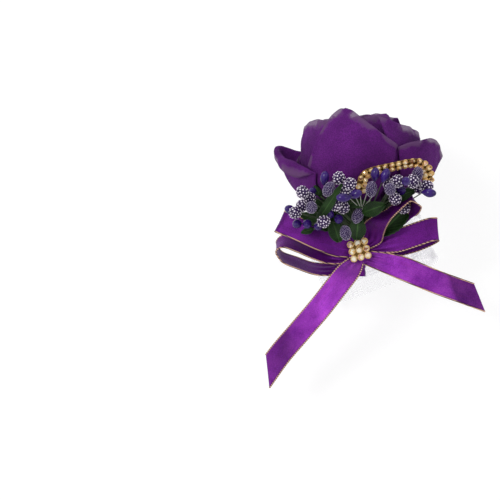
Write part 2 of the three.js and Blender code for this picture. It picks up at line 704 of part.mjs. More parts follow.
function leafBlade({ baseShares, tipShares, widthShare }) {
  const from = facePoint(...baseShares);
  const to = facePoint(...tipShares);
  const ahead = to.clone().sub(from);
  const across = new THREE.Vector3(ahead.y, -ahead.x, 0).normalize();
  const wide = widthShare * flowerReach;
  return sheet((u, v) => {
    const half = wide * 0.5 * Math.sin(Math.PI * (0.08 + 0.88 * v ** 0.85));
    const spot = from.clone().addScaledVector(ahead, v);
    spot.addScaledVector(across, (2 * u - 1) * half);
    spot.z += wide * (0.35 * Math.sin(Math.PI * v) - 0.22 * (1 - (2 * u - 1) ** 2));
    return spot;
  }, 2, 6, leafThickness);
}

// Leaves, let in around the wires that run through them: only the largest piece stays.
function leafSet() {
  const group = new THREE.Group();
  const rooms = allSprigs(touchGap);
  for (const leaf of leaves) {
    const parts = solidOf(cut(leafBlade(leaf), rooms)).decompose();
    const blade = parts.reduce((most, part) => (part.volume() > most.volume() ? part : most));
    group.add(node(leaf.name, geometryOf(blade), leafCloth));
  }
  return group;
}

// Ribbons: stations along the middle line. Each is x, y, z as shares, the direction of the
// ribbon's width as its lean in the face's plane and its turn out of it in degrees, and how
// much of its width is left where it is gathered.
const ribbons = [
  { name: "bow_loop_upper_left", stationShares: [
    [-0.07, 0.01, 0.11, 68, 0, 0.75],
    [-0.19, 0.035, 0.14, 67, 0, 0.92],
    [-0.38, 0.11, 0.19, 66, 0, 1],
    [-0.6, 0.21, 0.17, 65, 0, 1],
    [-0.76, 0.275, 0.13, 64, 0, 1],
    [-0.79, 0.285, 0.09, 64, 0, 1],
    [-0.7, 0.25, 0.045, 65, 0, 1],
    [-0.4, 0.15, 0.045, 66, 0, 0.95],
    [-0.18, 0.09, 0.07, 67, 0, 0.6],
    [-0.07, 0.075, 0.085, 68, 0, 0.35],
  ] },
  { name: "bow_loop_lower_left", stationShares: [
    [-0.07, -0.05, 0.1, 95, 0, 0.4],
    [-0.2, -0.06, 0.075, 92, -20, 0.7],
    [-0.33, -0.04, 0.05, 91, -35, 0.95],
    [-0.47, -0.005, 0.03, 90, -45, 1],
    [-0.62, 0.05, 0.01, 90, -52, 1],
    [-0.76, 0.085, 0.01, 88, -58, 1],
    [-0.825, 0.03, 0.01, 86, -63, 1],
    [-0.78, -0.06, 0.01, 88, -63, 1],
    [-0.61, -0.13, -0.01, 90, -60, 1],
    [-0.42, -0.19, -0.03, 90, -55, 0.95],
    [-0.24, -0.18, -0.01, 92, -42, 0.75],
    [-0.07, -0.09, 0.075, 95, -8, 0.35],
  ] },
  { name: "bow_loop_upper_right", stationShares: [
    [0.06, 0.04, 0.122, -25, 0, 0.5],
    [0.13, 0.11, 0.14, -25, 2, 0.8],
    [0.15, 0.22, 0.26, -25, 20, 1],
    [0.2, 0.29, 0.39, -25, 42, 1],
    [0.3, 0.37, 0.48, -35, 65, 1],
    [0.42, 0.47, 0.5, -60, 68, 1],
    [0.52, 0.53, 0.48, -80, 66, 1],
    [0.555, 0.45, 0.45, -20, 62, 1],
    [0.525, 0.34, 0.34, 20, 60, 1],
    [0.44, 0.26, 0.17, 60, 45, 1],
    [0.3, 0.2, 0.075, 105, 8, 0.75],
    [0.18, 0.15, 0.055, 112, 5, 0.5],
    [0.07, 0.11, 0.09, 112, 5, 0.3],
  ] },
  { name: "bow_loop_lower_right", stationShares: [
    [0.07, 0.02, 0.098, 108, 0, 0.4],
    [0.19, 0.05, 0.1, 108, 0, 0.7],
    [0.36, 0.085, 0.15, 108, 0, 0.95],
    [0.55, 0.15, 0.165, 106, 0, 1],
    [0.72, 0.205, 0.125, 100, 0, 1],
    [0.785, 0.205, 0.075, 96, 0, 1],
    [0.72, 0.165, 0.03, 100, 0, 1],
    [0.52, 0.08, 0.015, 106, 0, 0.95],
    [0.3, 0.02, 0.015, 108, 0, 0.8],
    [0.16, 0.01, 0.04, 108, 0, 0.5],
    [0.07, 0.02, 0.07, 108, 0, 0.3],
  ] },
  { name: "ribbon_tail_right", cutShare: 0.15, stationShares: [
    [0.07, -0.075, 0.125, 72, 0, 0.6],
    [0.26, -0.125, 0.13, 70, 0, 0.85],
    [0.43, -0.18, 0.115, 69, 0, 1],
    [0.76, -0.315, 0.06, 69, 0, 1],
    [1.05, -0.42, 0.01, 70, 0, 1],
    [1.3, -0.51, -0.04, 70, 0, 1],
  ] },
  { name: "ribbon_tail_left", cutShare: 0.12, stationShares: [
    [-0.02, -0.09, 0.13, 165, 0, 0.6],
    [-0.09, -0.19, 0.135, 155, 0, 0.95],
    [-0.2, -0.33, 0.13, 144, 0, 1],
    [-0.39, -0.575, 0.09, 141, 0, 1],
    [-0.59, -0.81, 0.03, 141, 0, 1],
    [-0.79, -1.045, -0.03, 141, 0, 1],
    [-0.98, -1.31, -0.07, 141, 0, 1],
  ] },
];

function ribbonPlace({ stationShares, cutShare = 0 }) {
  const line = new THREE.CatmullRomCurve3(stationShares.map(([x, y, z]) => facePoint(x, y, z)));
  const column = (k) => stationShares.map((station) => station[k]);
  const [leans, turns, widths] = [column(3), column(4), column(5)];
  return (across, along) => {
    const share = along * (1 - cutShare * across);
    const lean = between(leans, share) * degrees;
    const turn = between(turns, share) * degrees;
    const half = (across - 0.5) * ribbonWidth * between(widths, share);
    const way = new THREE.Vector3(
      Math.cos(lean) * Math.cos(turn), Math.sin(lean) * Math.cos(turn), Math.sin(turn));
    return line.getPoint(share).addScaledVector(way, half);
  };
}

function bow() {
  const group = new THREE.Group();
  const knotRoom = [knotBlock(seatGap), knotCollar(seatGap)];
  for (const ribbon of ribbons) {
    const strip = sheet(ribbonPlace(ribbon), 2, ribbon.cutShare ? 14 : 26, ribbonThickness);
    group.add(node(ribbon.name, cut(strip, knotRoom), satin));
  }
  return group;
}

const flower = new THREE.Group();
flower.position.copy(knotPlace);
flower.rotation.set(faceLift * degrees, 0, faceTurn * degrees, "ZXY");
flower.add(knotPieces());
flower.add(node("rhinestone_patch", stonePatch(), goldStone));
flower.add(node("rhinestone_arch", stoneArch(), goldStone));
flower.add(rose());
flower.add(sprays());
flower.add(leafSet());
flower.add(bow());

const corsage = new THREE.Group();
corsage.add(wristlet());
corsage.add(node("wedge_pad", wedgePad(), feltPad));
corsage.add(flower);

export default corsage;
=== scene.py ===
import bmesh
import bpy
import random
from math import cos, pi, radians, sin, sqrt, tan
from mathutils import Matrix, Quaternion, Vector, noise


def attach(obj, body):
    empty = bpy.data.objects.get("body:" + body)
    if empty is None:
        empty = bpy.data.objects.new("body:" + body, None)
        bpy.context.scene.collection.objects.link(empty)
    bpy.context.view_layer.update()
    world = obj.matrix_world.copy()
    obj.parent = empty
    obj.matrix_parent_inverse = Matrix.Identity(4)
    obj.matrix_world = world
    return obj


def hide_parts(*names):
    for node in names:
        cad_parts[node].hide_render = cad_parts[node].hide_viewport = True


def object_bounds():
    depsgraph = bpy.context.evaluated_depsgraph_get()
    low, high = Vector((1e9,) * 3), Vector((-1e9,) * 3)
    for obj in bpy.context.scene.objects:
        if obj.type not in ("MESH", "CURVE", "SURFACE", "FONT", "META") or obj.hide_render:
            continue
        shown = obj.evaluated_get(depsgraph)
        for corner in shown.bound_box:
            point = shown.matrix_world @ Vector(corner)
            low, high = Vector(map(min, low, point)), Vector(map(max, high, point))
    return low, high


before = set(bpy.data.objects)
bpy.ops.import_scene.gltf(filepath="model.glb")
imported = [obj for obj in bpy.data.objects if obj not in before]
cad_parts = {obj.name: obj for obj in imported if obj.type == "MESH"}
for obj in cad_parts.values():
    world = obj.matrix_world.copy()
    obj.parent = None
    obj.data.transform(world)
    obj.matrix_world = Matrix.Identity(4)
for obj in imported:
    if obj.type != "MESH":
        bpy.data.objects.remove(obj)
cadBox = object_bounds()
scene = bpy.context.scene
mm = 0.001
gap = 0.3  # millimetres that glue or thread takes between two pieces
print("frame loaded")


def addObject(name, data):
    made = bpy.data.objects.new(name, data)
    scene.collection.objects.link(made)
    return made


# Where the flower sits over the wrist: millimetres and degrees, as in the solids.
flower = {"knot": (-7.5, -2, 28), "turn": -20, "lift": 12, "reach": 45.5}
flowerTurn = Matrix.Rotation(radians(flower["turn"]), 4, "Z") @ Matrix.Rotation(
    radians(flower["lift"]), 4, "X")
toMetres = Matrix.Scale(mm, 4)
flowerPlace = toMetres @ Matrix.Translation(flower["knot"]) @ flowerTurn

# Camera: long lens, square to the flower's face as in the photo
camera = {"distance": 3.0, "frameWidth": 0.2273, "knotAside": 0.0495, "sensor": 36}
lens = bpy.data.cameras.new("camera")
lens.sensor_width = camera["sensor"]
lens.lens = camera["sensor"] * camera["distance"] / camera["frameWidth"]
lens.clip_end = 20
eye = addObject("camera", lens)
right = (flowerTurn @ Vector((1, 0, 0, 0))).to_3d()
back = (flowerTurn @ Vector((0, 0, 1, 0))).to_3d()
target = Vector(flower["knot"]) * mm - right * camera["knotAside"]
eye.matrix_world = Matrix.Translation(target + back * camera["distance"]) @ flowerTurn
scene.camera = eye
scene.view_settings.view_transform = "Standard"


def srgb(red, green, blue):  # 0 to 255, as read on a screen
    def linear(value):
        value /= 255
        return value / 12.92 if value < 0.04045 else ((value + 0.055) / 1.055) ** 2.4
    return (linear(red), linear(green), linear(blue), 1)


# Node helpers: an input given a socket is linked, and any other value is set. A keyword names the
# input by its label, or by its number after an underscore.
def addNode(tree, kind, settings=None, **inputs):
    made = tree.nodes.new(kind)
    for name, value in (settings or {}).items():
        setattr(made, name, value)
    for name, value in inputs.items():
        key = int(name[1:]) if name[0] == "_" else name.replace("_", " ")
        if isinstance(value, bpy.types.NodeSocket):
            tree.links.new(value, made.inputs[key])
        else:
            made.inputs[key].default_value = value
    return made


def treeOf(*values):  # the tree that the first socket among them belongs to
    return next(value.id_data for value in values if isinstance(value, bpy.types.NodeSocket))


def calc(operation, *values, clamp=False):
    made = addNode(treeOf(*values), "ShaderNodeMath",
                   {"operation": operation, "use_clamp": clamp},
                   **{f"_{k}": value for k, value in enumerate(values)})
    return made.outputs[0]


def remap(value, source=(0, 1), target=(0, 1)):
    made = addNode(value.id_data, "ShaderNodeMapRange", Value=value, From_Min=source[0],
                   From_Max=source[1], To_Min=target[0], To_Max=target[1])
    return made.outputs[0]


def blend(share, low, high, kind="MIX"):
    made = addNode(treeOf(share, low), "ShaderNodeMix",
                   {"data_type": "RGBA", "blend_type": kind}, _0=share, _6=low, _7=high)
    return made.outputs[2]


def objectPlace(tree):
    return tree.nodes.new("ShaderNodeTexCoord").outputs["Object"]


def cloud(tree, scale, detail=2, roughness=0.5):  # noise by place on the piece
    made = addNode(tree, "ShaderNodeTexNoise", Vector=objectPlace(tree), Scale=scale,
                   Detail=detail, Roughness=roughness)
    return made.outputs[0]


def apart(vector):
    return addNode(vector.id_data, "ShaderNodeSeparateXYZ", _0=vector).outputs


def bump(height, strength, distance):
    return addNode(height.id_data, "ShaderNodeBump", Height=height, Strength=strength,
                   Distance=distance).outputs[0]


def colourRamp(value, stops, kind="LINEAR"):  # stops: place and colour, in order
    made = addNode(value.id_data, "ShaderNodeValToRGB", _0=value)
    ramp = made.color_ramp
    ramp.interpolation = kind
    while len(ramp.elements) < len(stops):
        ramp.elements.new(1)
    for k, (spot, colour) in enumerate(stops):
        ramp.elements[k].position = spot
        ramp.elements[k].color = colour
    return made.outputs[0]


def newGroup(name, inputs, outputs):  # each input or output: its label and its kind
    group = bpy.data.node_groups.new(name, "ShaderNodeTree")
    for way, labels in (("INPUT", inputs), ("OUTPUT", outputs)):
        for label, kind in labels.items():
            group.interface.new_socket(label, in_out=way, socket_type="NodeSocket" + kind)
    return group, group.nodes.new("NodeGroupInput").outputs, group.nodes.new("NodeGroupOutput")


def useGroup(tree, group, **inputs):
    return addNode(tree, "ShaderNodeGroup", {"node_tree": group}, **inputs).outputs


def makeWeave():  # over and under threads on a UV map, as a height
    group, given, out = newGroup(
        "weave", {"Vector": "Vector", "Threads across": "Float", "Threads along": "Float"},
        {"Height": "Float"})
    waves = []
    parts = apart(given["Vector"])
    for axis, count in enumerate(("Threads across", "Threads along")):
        turns = calc("MULTIPLY", parts[axis], given[count])
        waves.append(calc("SINE", calc("MULTIPLY", turns, 2 * pi)))
    both = calc("MULTIPLY", *waves)
    group.links.new(calc("MULTIPLY_ADD", both, 0.5, 0.5), out.inputs["Height"])
    return group


def makeMottle():  # colour that drifts between two, by place on the piece
    group, given, out = newGroup(
        "mottle", {"Low": "Color", "High": "Color", "Scale": "Float", "Sharpness": "Float"},
        {"Color": "Color", "Mask": "Float"})
    low = calc("MULTIPLY", given["Sharpness"], 0.5)
    high = calc("SUBTRACT", 1, low)
    spread = remap(cloud(group, given["Scale"], 4, 0.6), (low, high))
    group.links.new(blend(spread, given["Low"], given["High"]), out.inputs["Color"])
    group.links.new(spread, out.inputs["Mask"])
    return group


def makeEdge():  # 1 at the far end of a UV map, 0 from a wavering reach inwards
    group, given, out = newGroup(
        "edge", {"Vector": "Vector", "Reach": "Float", "Waver": "Float"}, {"End": "Float"})
    waverScale = 320
    shift = calc("MULTIPLY_ADD", cloud(group, waverScale), given["Waver"], given["Reach"])
    away = calc("SUBTRACT", 1, apart(given["Vector"])[1])
    share = calc("DIVIDE", away, shift)
    group.links.new(calc("SUBTRACT", 1, share, clamp=True), out.inputs["End"])
    return group


weave, mottle, edge = makeWeave(), makeMottle(), makeEdge()


# Mesh helpers
def mapShares(made, wide=1, long=1):  # a UV map of each corner's share across and along
    shares = made.loops.layers.uv.new("UVMap")
    for face in made.faces:
        for loop in face.loops:
            loop[shares].uv = (loop.vert.co.x / wide + 0.5, loop.vert.co.y / long + 0.5)


def shapedGrid(place, acrossSteps, alongSteps):  # place: a formula of shares across and along
    made = bmesh.new()
    bmesh.ops.create_grid(made, x_segments=acrossSteps, y_segments=alongSteps, size=0.5)
    mapShares(made)
    for vert in made.verts:
        vert.co = place(vert.co.x + 0.5, vert.co.y + 0.5)
    return made


def meshOf(name, made):
    mesh = bpy.data.meshes.new(name)
    made.to_mesh(mesh)
    made.free()
    return mesh


def joinMesh(made, mesh, look=0):  # adds a mesh to a bmesh, its faces in one of the piece's looks
    before = len(made.faces)
    made.from_mesh(mesh)
    made.faces.ensure_lookup_table()
    for face in made.faces[before:]:
        face.material_index = look
    bpy.data.meshes.remove(mesh)


def paintFound(found, look):  # gives a look to the faces round what an operator made
    for face in {face for vert in found["verts"] for face in vert.link_faces}:
        face.material_index = look


def roundEdges(made, offset, segments):
    bmesh.ops.bevel(made, geom=made.verts[:] + made.edges[:], offset=offset, segments=segments,
                    affect="EDGES", profile=0.5)


def addPiece(name, made, looks, nodes=(), place=flowerPlace, smooth=True, thick=0):
    mesh = meshOf(name, made) if isinstance(made, bmesh.types.BMesh) else made
    mesh.name = name
    mesh.transform(place)
    for look in looks:
        mesh.materials.append(look)
    mesh.shade_smooth() if smooth else mesh.shade_flat()
    piece = addObject(name, mesh)
    if thick:
        wall = piece.modifiers.new("thickness", "SOLIDIFY")
        wall.thickness = thick * mm
        wall.offset = 0
    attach(piece, "root")
    if nodes:
        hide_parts(*nodes)
    return piece


def tubes(lines, radius, closed=False):  # a mesh of eight-sided cords along lines of points
    curve = bpy.data.curves.new("tubes", "CURVE")
    curve.dimensions = "3D"
    curve.bevel_depth = radius
    curve.bevel_resolution = 1
    curve.use_fill_caps = not closed
    for line in lines:
        spline = curve.splines.new("POLY")
        spline.points.add(len(line) - 1)
        spline.use_cyclic_u = closed
        for point, spot in zip(spline.points, line):
            point.co = (*spot, 1)
    holder = addObject("tubes", curve)
    mesh = bpy.data.meshes.new_from_object(holder)
    bpy.data.objects.remove(holder)
    bpy.data.curves.remove(curve)
    return mesh


def smoothstep(value, low, high):
    share = min(max((value - low) / (high - low), 0), 1)
    return share * share * (3 - 2 * share)


def noiseAt(x, y, z):
    return noise.noise(Vector((x, y, z)))


def stepAt(share, steps):  # the step that a share falls in, and how far through it
    reach = min(max(share, 0), 1) * steps
    k = min(int(reach), steps - 1)
    return k, reach - k


def between(values, share):  # a smooth value between evenly spaced ones
    k, t = stepAt(share, len(values) - 1)
    p, q = values[k], values[k + 1]
    before = values[k - 1] if k > 0 else 2 * p - q
    after = values[k + 2] if k + 2 < len(values) else 2 * q - p
    rise, fall = (q - before) / 2, (after - p) / 2
    return p + t * (rise + t * (3 * (q - p) - 2 * rise - fall + t * (2 * (p - q) + rise + fall)))


def facePoint(x, y, z):
    return Vector((x, y, z)) * flower["reach"]


def alongCurve(points, share):  # the point at a share of a centripetal spline through points
    last = len(points) - 1
    k, t = stepAt(share, last)
    p1, p2 = points[k], points[k + 1]
    p0 = points[k - 1] if k > 0 else p1 * 2 - p2
    p3 = points[k + 2] if k + 2 <= last else p2 * 2 - p1
    d0, d1, d2 = (sqrt((b - a).length) for a, b in ((p0, p1), (p1, p2), (p2, p3)))
    start = ((p1 - p0) / d0 - (p2 - p0) / (d0 + d1) + (p2 - p1) / d1) * d1
    end = ((p2 - p1) / d1 - (p3 - p1) / (d1 + d2) + (p3 - p2) / d2) * d1
    bend = p1 * 2 - p2 * 2 + start + end
    return p1 + start * t + (p2 * 3 - p1 * 3 - start * 2 - end) * t * t + bend * t * t * t


def evenLine(points, steps):  # points evenly spaced along such a spline
    fineSteps = 400
    fine = [alongCurve(points, k / fineSteps) for k in range(fineSteps + 1)]
    runs = [0]
    for a, b in zip(fine, fine[1:]):
        runs.append(runs[-1] + (b - a).length)
    line, k = [], 0
    for step in range(steps + 1):
        reach = runs[-1] * step / steps
        while k < fineSteps - 1 and runs[k + 1] < reach:
            k += 1
        share = (reach - runs[k]) / max(runs[k + 1] - runs[k], 1e-9)
        line.append(fine[k].lerp(fine[k + 1], min(share, 1)))
    return line, runs[-1]


def lineLength(line):
    return sum((b - a).length for a, b in zip(line, line[1:]))


# Looks
def newLook(name):
    look = bpy.data.materials.new(name)
    look.use_nodes = True
    look.node_tree.nodes.clear()
    return look, look.node_tree


def mottledLook(name, low, high, scale, sharpness=0.5):  # a look with its drifting colour and mask
    look, tree = newLook(name)
    body = useGroup(tree, mottle, Low=srgb(*low), High=srgb(*high), Scale=scale,
                    Sharpness=sharpness)
    return look, tree, body["Color"], body["Mask"]


def finishLook(tree, **inputs):
    shader = addNode(tree, "ShaderNodeBsdfPrincipled", **inputs)
    addNode(tree, "ShaderNodeOutputMaterial", Surface=shader.outputs[0])


def sheetShares(tree):
    return tree.nodes.new("ShaderNodeUVMap").outputs[0]


def woven(tree, across, along):  # the weave's height on a sheet
    return useGroup(tree, weave, Vector=sheetShares(tree), Threads_across=across,
                    Threads_along=along)["Height"]


def grained(colour, scale, half):  # fine specks laid over a colour, and their height
    grain = cloud(colour.id_data, scale, 3, 0.7)
    specks = remap(grain, (0.5 - half, 0.5 + half))
    return blend(0.3, colour, specks, "OVERLAY"), grain


def petalLook():
    rim = {"colour": srgb(112, 74, 122), "reach": 0.03, "waver": 0.15, "patchScale": 75}
    look, tree, body, mask = mottledLook("petal cloth", (64, 14, 80), (104, 32, 126), 42)
    colour, grain = grained(body, 1900, 0.14)
    near = useGroup(tree, edge, Vector=sheetShares(tree), Reach=rim["reach"],
                    Waver=rim["waver"])["End"]
    # Paler, partly see-through patches along the rim.
    patches = remap(cloud(tree, rim["patchScale"], 1), (0.46, 0.55), (0, 1.8))
    paleRimPatches = calc("MULTIPLY", near, patches, clamp=True)
    folds = calc("MULTIPLY_ADD", grain, 1.6, woven(tree, 130, 110))
    finishLook(tree, Normal=bump(folds, 0.5, 0.00012),
               Base_Color=blend(paleRimPatches, colour, rim["colour"]),
               Roughness=remap(mask, target=(0.95, 0.8)),
               Alpha=remap(paleRimPatches, (0.3, 1), (1, 0.7)), Sheen_Weight=0.12,
               Sheen_Roughness=0.5, Sheen_Tint=srgb(190, 120, 215), Specular_IOR_Level=0.15)
    return look


def satinLook(name, shade, lit, sheen):  # sheen: painted highlight and shade, how bright the ribbon is at shares of its length
    look, tree, body, _ = mottledLook(name, shade, lit, 60)
    shares = sheetShares(tree)
    # The ramp along the ribbon's length paints bands of highlight and shade into the satin's
    # colour.
    bands = colourRamp(apart(shares)[1],
                       [(spot, (value, value, value, 1)) for spot, value in sheen])
    streaks = addNode(tree, "ShaderNodeMapping", Vector=shares, Scale=(60, 3, 1)).outputs[0]
    streak = addNode(tree, "ShaderNodeTexNoise", Vector=streaks, Scale=1, Detail=3).outputs
    streaked = blend(0.3, body, streak["Color"], "OVERLAY")
    colour, _ = grained(streaked, 2300, 0.16)
    height = calc("MULTIPLY_ADD", streak[0], 1.2, woven(tree, 90, 420))
    finishLook(tree, Normal=bump(height, 0.25, 0.00008),
               Base_Color=blend(1, colour, bands, "MULTIPLY"),
               Roughness=remap(streak[0], target=(0.3, 0.42)), Metallic=0.5,
               Specular_IOR_Level=0.15, Anisotropic=0.5)
    return look


def threadEdgeLook():  # metallic thread twisted with a dark one along the ribbon's edge
    thread = {"gold": srgb(222, 176, 146), "dark": srgb(58, 14, 50), "twists": 380}
    look, tree = newLook("metallic thread edge")
    wave = addNode(tree, "ShaderNodeTexWave", {"bands_direction": "DIAGONAL"},
                   Vector=objectPlace(tree), Scale=thread["twists"], Distortion=1.5,
                   Detail=1).outputs[1]
    turned = remap(wave, (0.1, 0.6))
    finishLook(tree, Normal=bump(wave, 0.6, 0.0002),
               Base_Color=blend(turned, thread["dark"], thread["gold"]),
               Metallic=remap(wave, target=(0.1, 0.5)), Roughness=0.4)
    return look


def leafLook():
    veins = {"colour": srgb(58, 92, 42), "count": 9, "slant": -0.7, "depth": -2}
    look, tree, body, mask = mottledLook("waxed leaf", (12, 34, 10), (38, 72, 24), 180)
    across, along, _ = apart(sheetShares(tree))
    away = calc("ABSOLUTE", calc("SUBTRACT", across, 0.5))
    slant = calc("MULTIPLY_ADD", away, veins["slant"], along)
    saw = calc("PINGPONG", calc("MULTIPLY", slant, veins["count"]), 0.5)
    vein = calc("MAXIMUM", remap(saw, (0, 0.12), (0.6, 0)),
                remap(away, (0.02, 0.06), (1, 0)))
    height = calc("MULTIPLY_ADD", vein, veins["depth"], woven(tree, 24, 60))
    finishLook(tree, Normal=bump(height, 0.5, 0.0001),
               Base_Color=blend(vein, body, veins["colour"]),
               Roughness=remap(mask, target=(0.55, 0.38)), Specular_IOR_Level=0.3)
    return look


def beadLook(name, low, high, scale, roughness, coat, grain=0, grainScale=900):
    look, tree, body, _ = mottledLook(name, low, high, scale, 0.4)
    grains = cloud(tree, grainScale)
    finishLook(tree, Normal=bump(grains, grain, 0.0002), Base_Color=body,
               Roughness=remap(grains, target=(roughness * 0.8, roughness * 1.25)),
               Specular_IOR_Level=0.35, Coat_Weight=coat, Coat_Roughness=0.08)
    return look


def metalLook(name, low, high, roughness):
    look, tree, body, mask = mottledLook(name, low, high, 700)
    finishLook(tree, Normal=bump(mask, 0.15, 0.0001), Base_Color=body,
               Roughness=remap(mask, target=(roughness, roughness * 1.8)), Metallic=1)
    return look


def crystalLook(name, tintsAndGlints):  # foil-backed stones: each facet-sized patch takes one tint: pale golds of the stone and its foil, a painted white glint, a painted pink reflection, a painted dark reflection
    look, tree = newLook(name)
    cells = addNode(tree, "ShaderNodeTexVoronoi", Vector=objectPlace(tree), Scale=620)
    parts = addNode(tree, "ShaderNodeSeparateColor", _0=cells.outputs["Color"]).outputs
    stops = [(spot, srgb(*tint)) for spot, tint in zip((0, 0.28, 0.5, 0.62, 0.86), tintsAndGlints)]
    finishLook(tree, Base_Color=colourRamp(parts[0], stops, "CONSTANT"),
               Roughness=remap(parts[1], target=(0.03, 0.14)), Metallic=0.15,
               Coat_Weight=1, Coat_Roughness=0.02, IOR=1.6)
    return look


def sheerLook(name, alphas, across, along):
    look, tree, body, mask = mottledLook(name, (212, 212, 215), (246, 246, 247), 90, 0.4)
    threads = woven(tree, across, along)
    # A faint glow in the cloth's own colour is painted light, lifting its shaded folds towards
    # white; the elastic threads share it.
    finishLook(tree, Normal=bump(threads, 0.15, 0.0001), Base_Color=body,
               Roughness=remap(mask, target=(0.4, 0.6)),
               Alpha=remap(threads, target=alphas), Emission_Color=body,
               Emission_Strength=0.35)
    return look


def feltLook():
    look, tree, body, _ = mottledLook("felt", (206, 198, 212), (240, 236, 244), 260, 0.4)
    fuzz = cloud(tree, 1600, 5, 0.7)
    finishLook(tree, Normal=bump(fuzz, 0.8, 0.0003), Base_Color=body,
               Roughness=remap(fuzz, target=(0.85, 1)), Sheen_Weight=0.5)
    return look


petalCloth, threadEdge, waxedLeaf = petalLook(), threadEdgeLook(), leafLook()
# Loops, knot and stem wrap get the satin painted darker, as painted shade; the tails further down
# get it painted lit.
satin = satinLook("satin ribbon", (66, 10, 86), (120, 32, 148), [(0, 1), (1, 1)])
smoothBead = beadLook("indigo bead", (28, 5, 66), (60, 22, 126), 240, 0.25, 0.1)
darkBead = beadLook("dark bead", (24, 4, 46), (48, 12, 80), 300, 0.4, 0.05)
paleDot = beadLook("pale dot", (230, 212, 240), (255, 250, 255), 900, 0.5, 0.1)
frostedBead = beadLook("frosted bead", (34, 18, 56), (60, 40, 90), 700, 0.7, 0, 0.8, 2200)
sugarGrain = beadLook("sugar grain", (140, 122, 166), (226, 216, 236), 1200, 0.5, 0.2)
wireLook = beadLook("coated wire", (46, 62, 38), (92, 106, 78), 400, 0.55, 0)
paleWire = beadLook("pale wire", (150, 154, 144), (214, 216, 206), 400, 0.4, 0.2)
floralTape = beadLook("floral tape", (44, 74, 38), (74, 106, 62), 300, 0.65, 0, 0.6)
gold = metalLook("gold cup", (214, 164, 88), (250, 216, 150), 0.22)
tapeBack = metalLook("tape back", (92, 66, 34), (150, 116, 66), 0.45)
# Crystal tints in order: cream and gold of stone and foil, painted pink reflection, painted white
# glint, painted dark reflection.
crystal = crystalLook("crystal", [(255, 240, 206), (240, 198, 124), (226, 176, 168),
                                  (255, 248, 226), (150, 96, 66)])
honeyCrystal = crystalLook("honey crystal", [(250, 222, 166), (234, 184, 104), (222, 162, 132),
                                             (255, 236, 196), (140, 88, 46)])
sheer = sheerLook("sheer cloth", (0.1, 0.34), 30, 420)
elasticThread = sheerLook("elastic thread", (0.7, 0.95), 1, 40)
felt = feltLook()
print("looks made")


# Floor, world and lamps
stageSizes = {"floor": 6, "floorGrey": 0.9, "seenGrey": 0.32, "cameraGlow": 0.74,
              "worldGlow": 0.62}


def cameraRay(tree):
    return tree.nodes.new("ShaderNodeLightPath").outputs["Is Camera Ray"]


def makeFloor():
    made = bmesh.new()
    bmesh.ops.create_grid(made, x_segments=1, y_segments=1, size=stageSizes["floor"] / 2)
    mesh = meshOf("floor", made)
    lowest = cadBox[0][2]
    mesh.transform(Matrix.Translation((0, 0, lowest)))
    look, tree = newLook("pale floor")
    ray = cameraRay(tree)
    greys = (stageSizes["floorGrey"], stageSizes["seenGrey"])
    finishLook(tree, Base_Color=remap(ray, target=greys), Roughness=0.95,
               Specular_IOR_Level=0, Emission_Color=(1, 1, 1, 1),
               Emission_Strength=calc("MULTIPLY", ray, stageSizes["cameraGlow"]))
    mesh.materials.append(look)
    addObject("floor", mesh)


def makeWorld():
    world = bpy.data.worlds.new("studio")
    world.use_nodes = True
    tree = world.node_tree
    tree.nodes.clear()
    glow = remap(cameraRay(tree), target=(stageSizes["worldGlow"], 1))
    sky = addNode(tree, "ShaderNodeBackground", Color=(1, 1, 1, 1), Strength=glow)
    addNode(tree, "ShaderNodeOutputWorld", Surface=sky.outputs[0])
    scene.world = world


lamps = [  # name, place in metres from the flower, size, watts
    ("key", (-0.7, 0.35, 1.3), 0.45, 7.5),
    ("fill", (0.9, -0.4, 1.0), 0.9, 2.4),
    ("back", (0.2, 1.1, 0.7), 0.7, 2.0),
]


def makeLamps():
    for name, spot, size, power in lamps:
        light = bpy.data.lights.new(name, "AREA")
        light.shape = "DISK"
        light.size = size
        light.energy = power
        holder = addObject(name, light)
        holder.location = Vector(flower["knot"]) * mm + Vector(spot)
        holder.rotation_mode = "QUATERNION"
        holder.rotation_quaternion = Vector(spot).to_track_quat("Z", "Y")


makeFloor()
makeWorld()
makeLamps()
print("stage made")
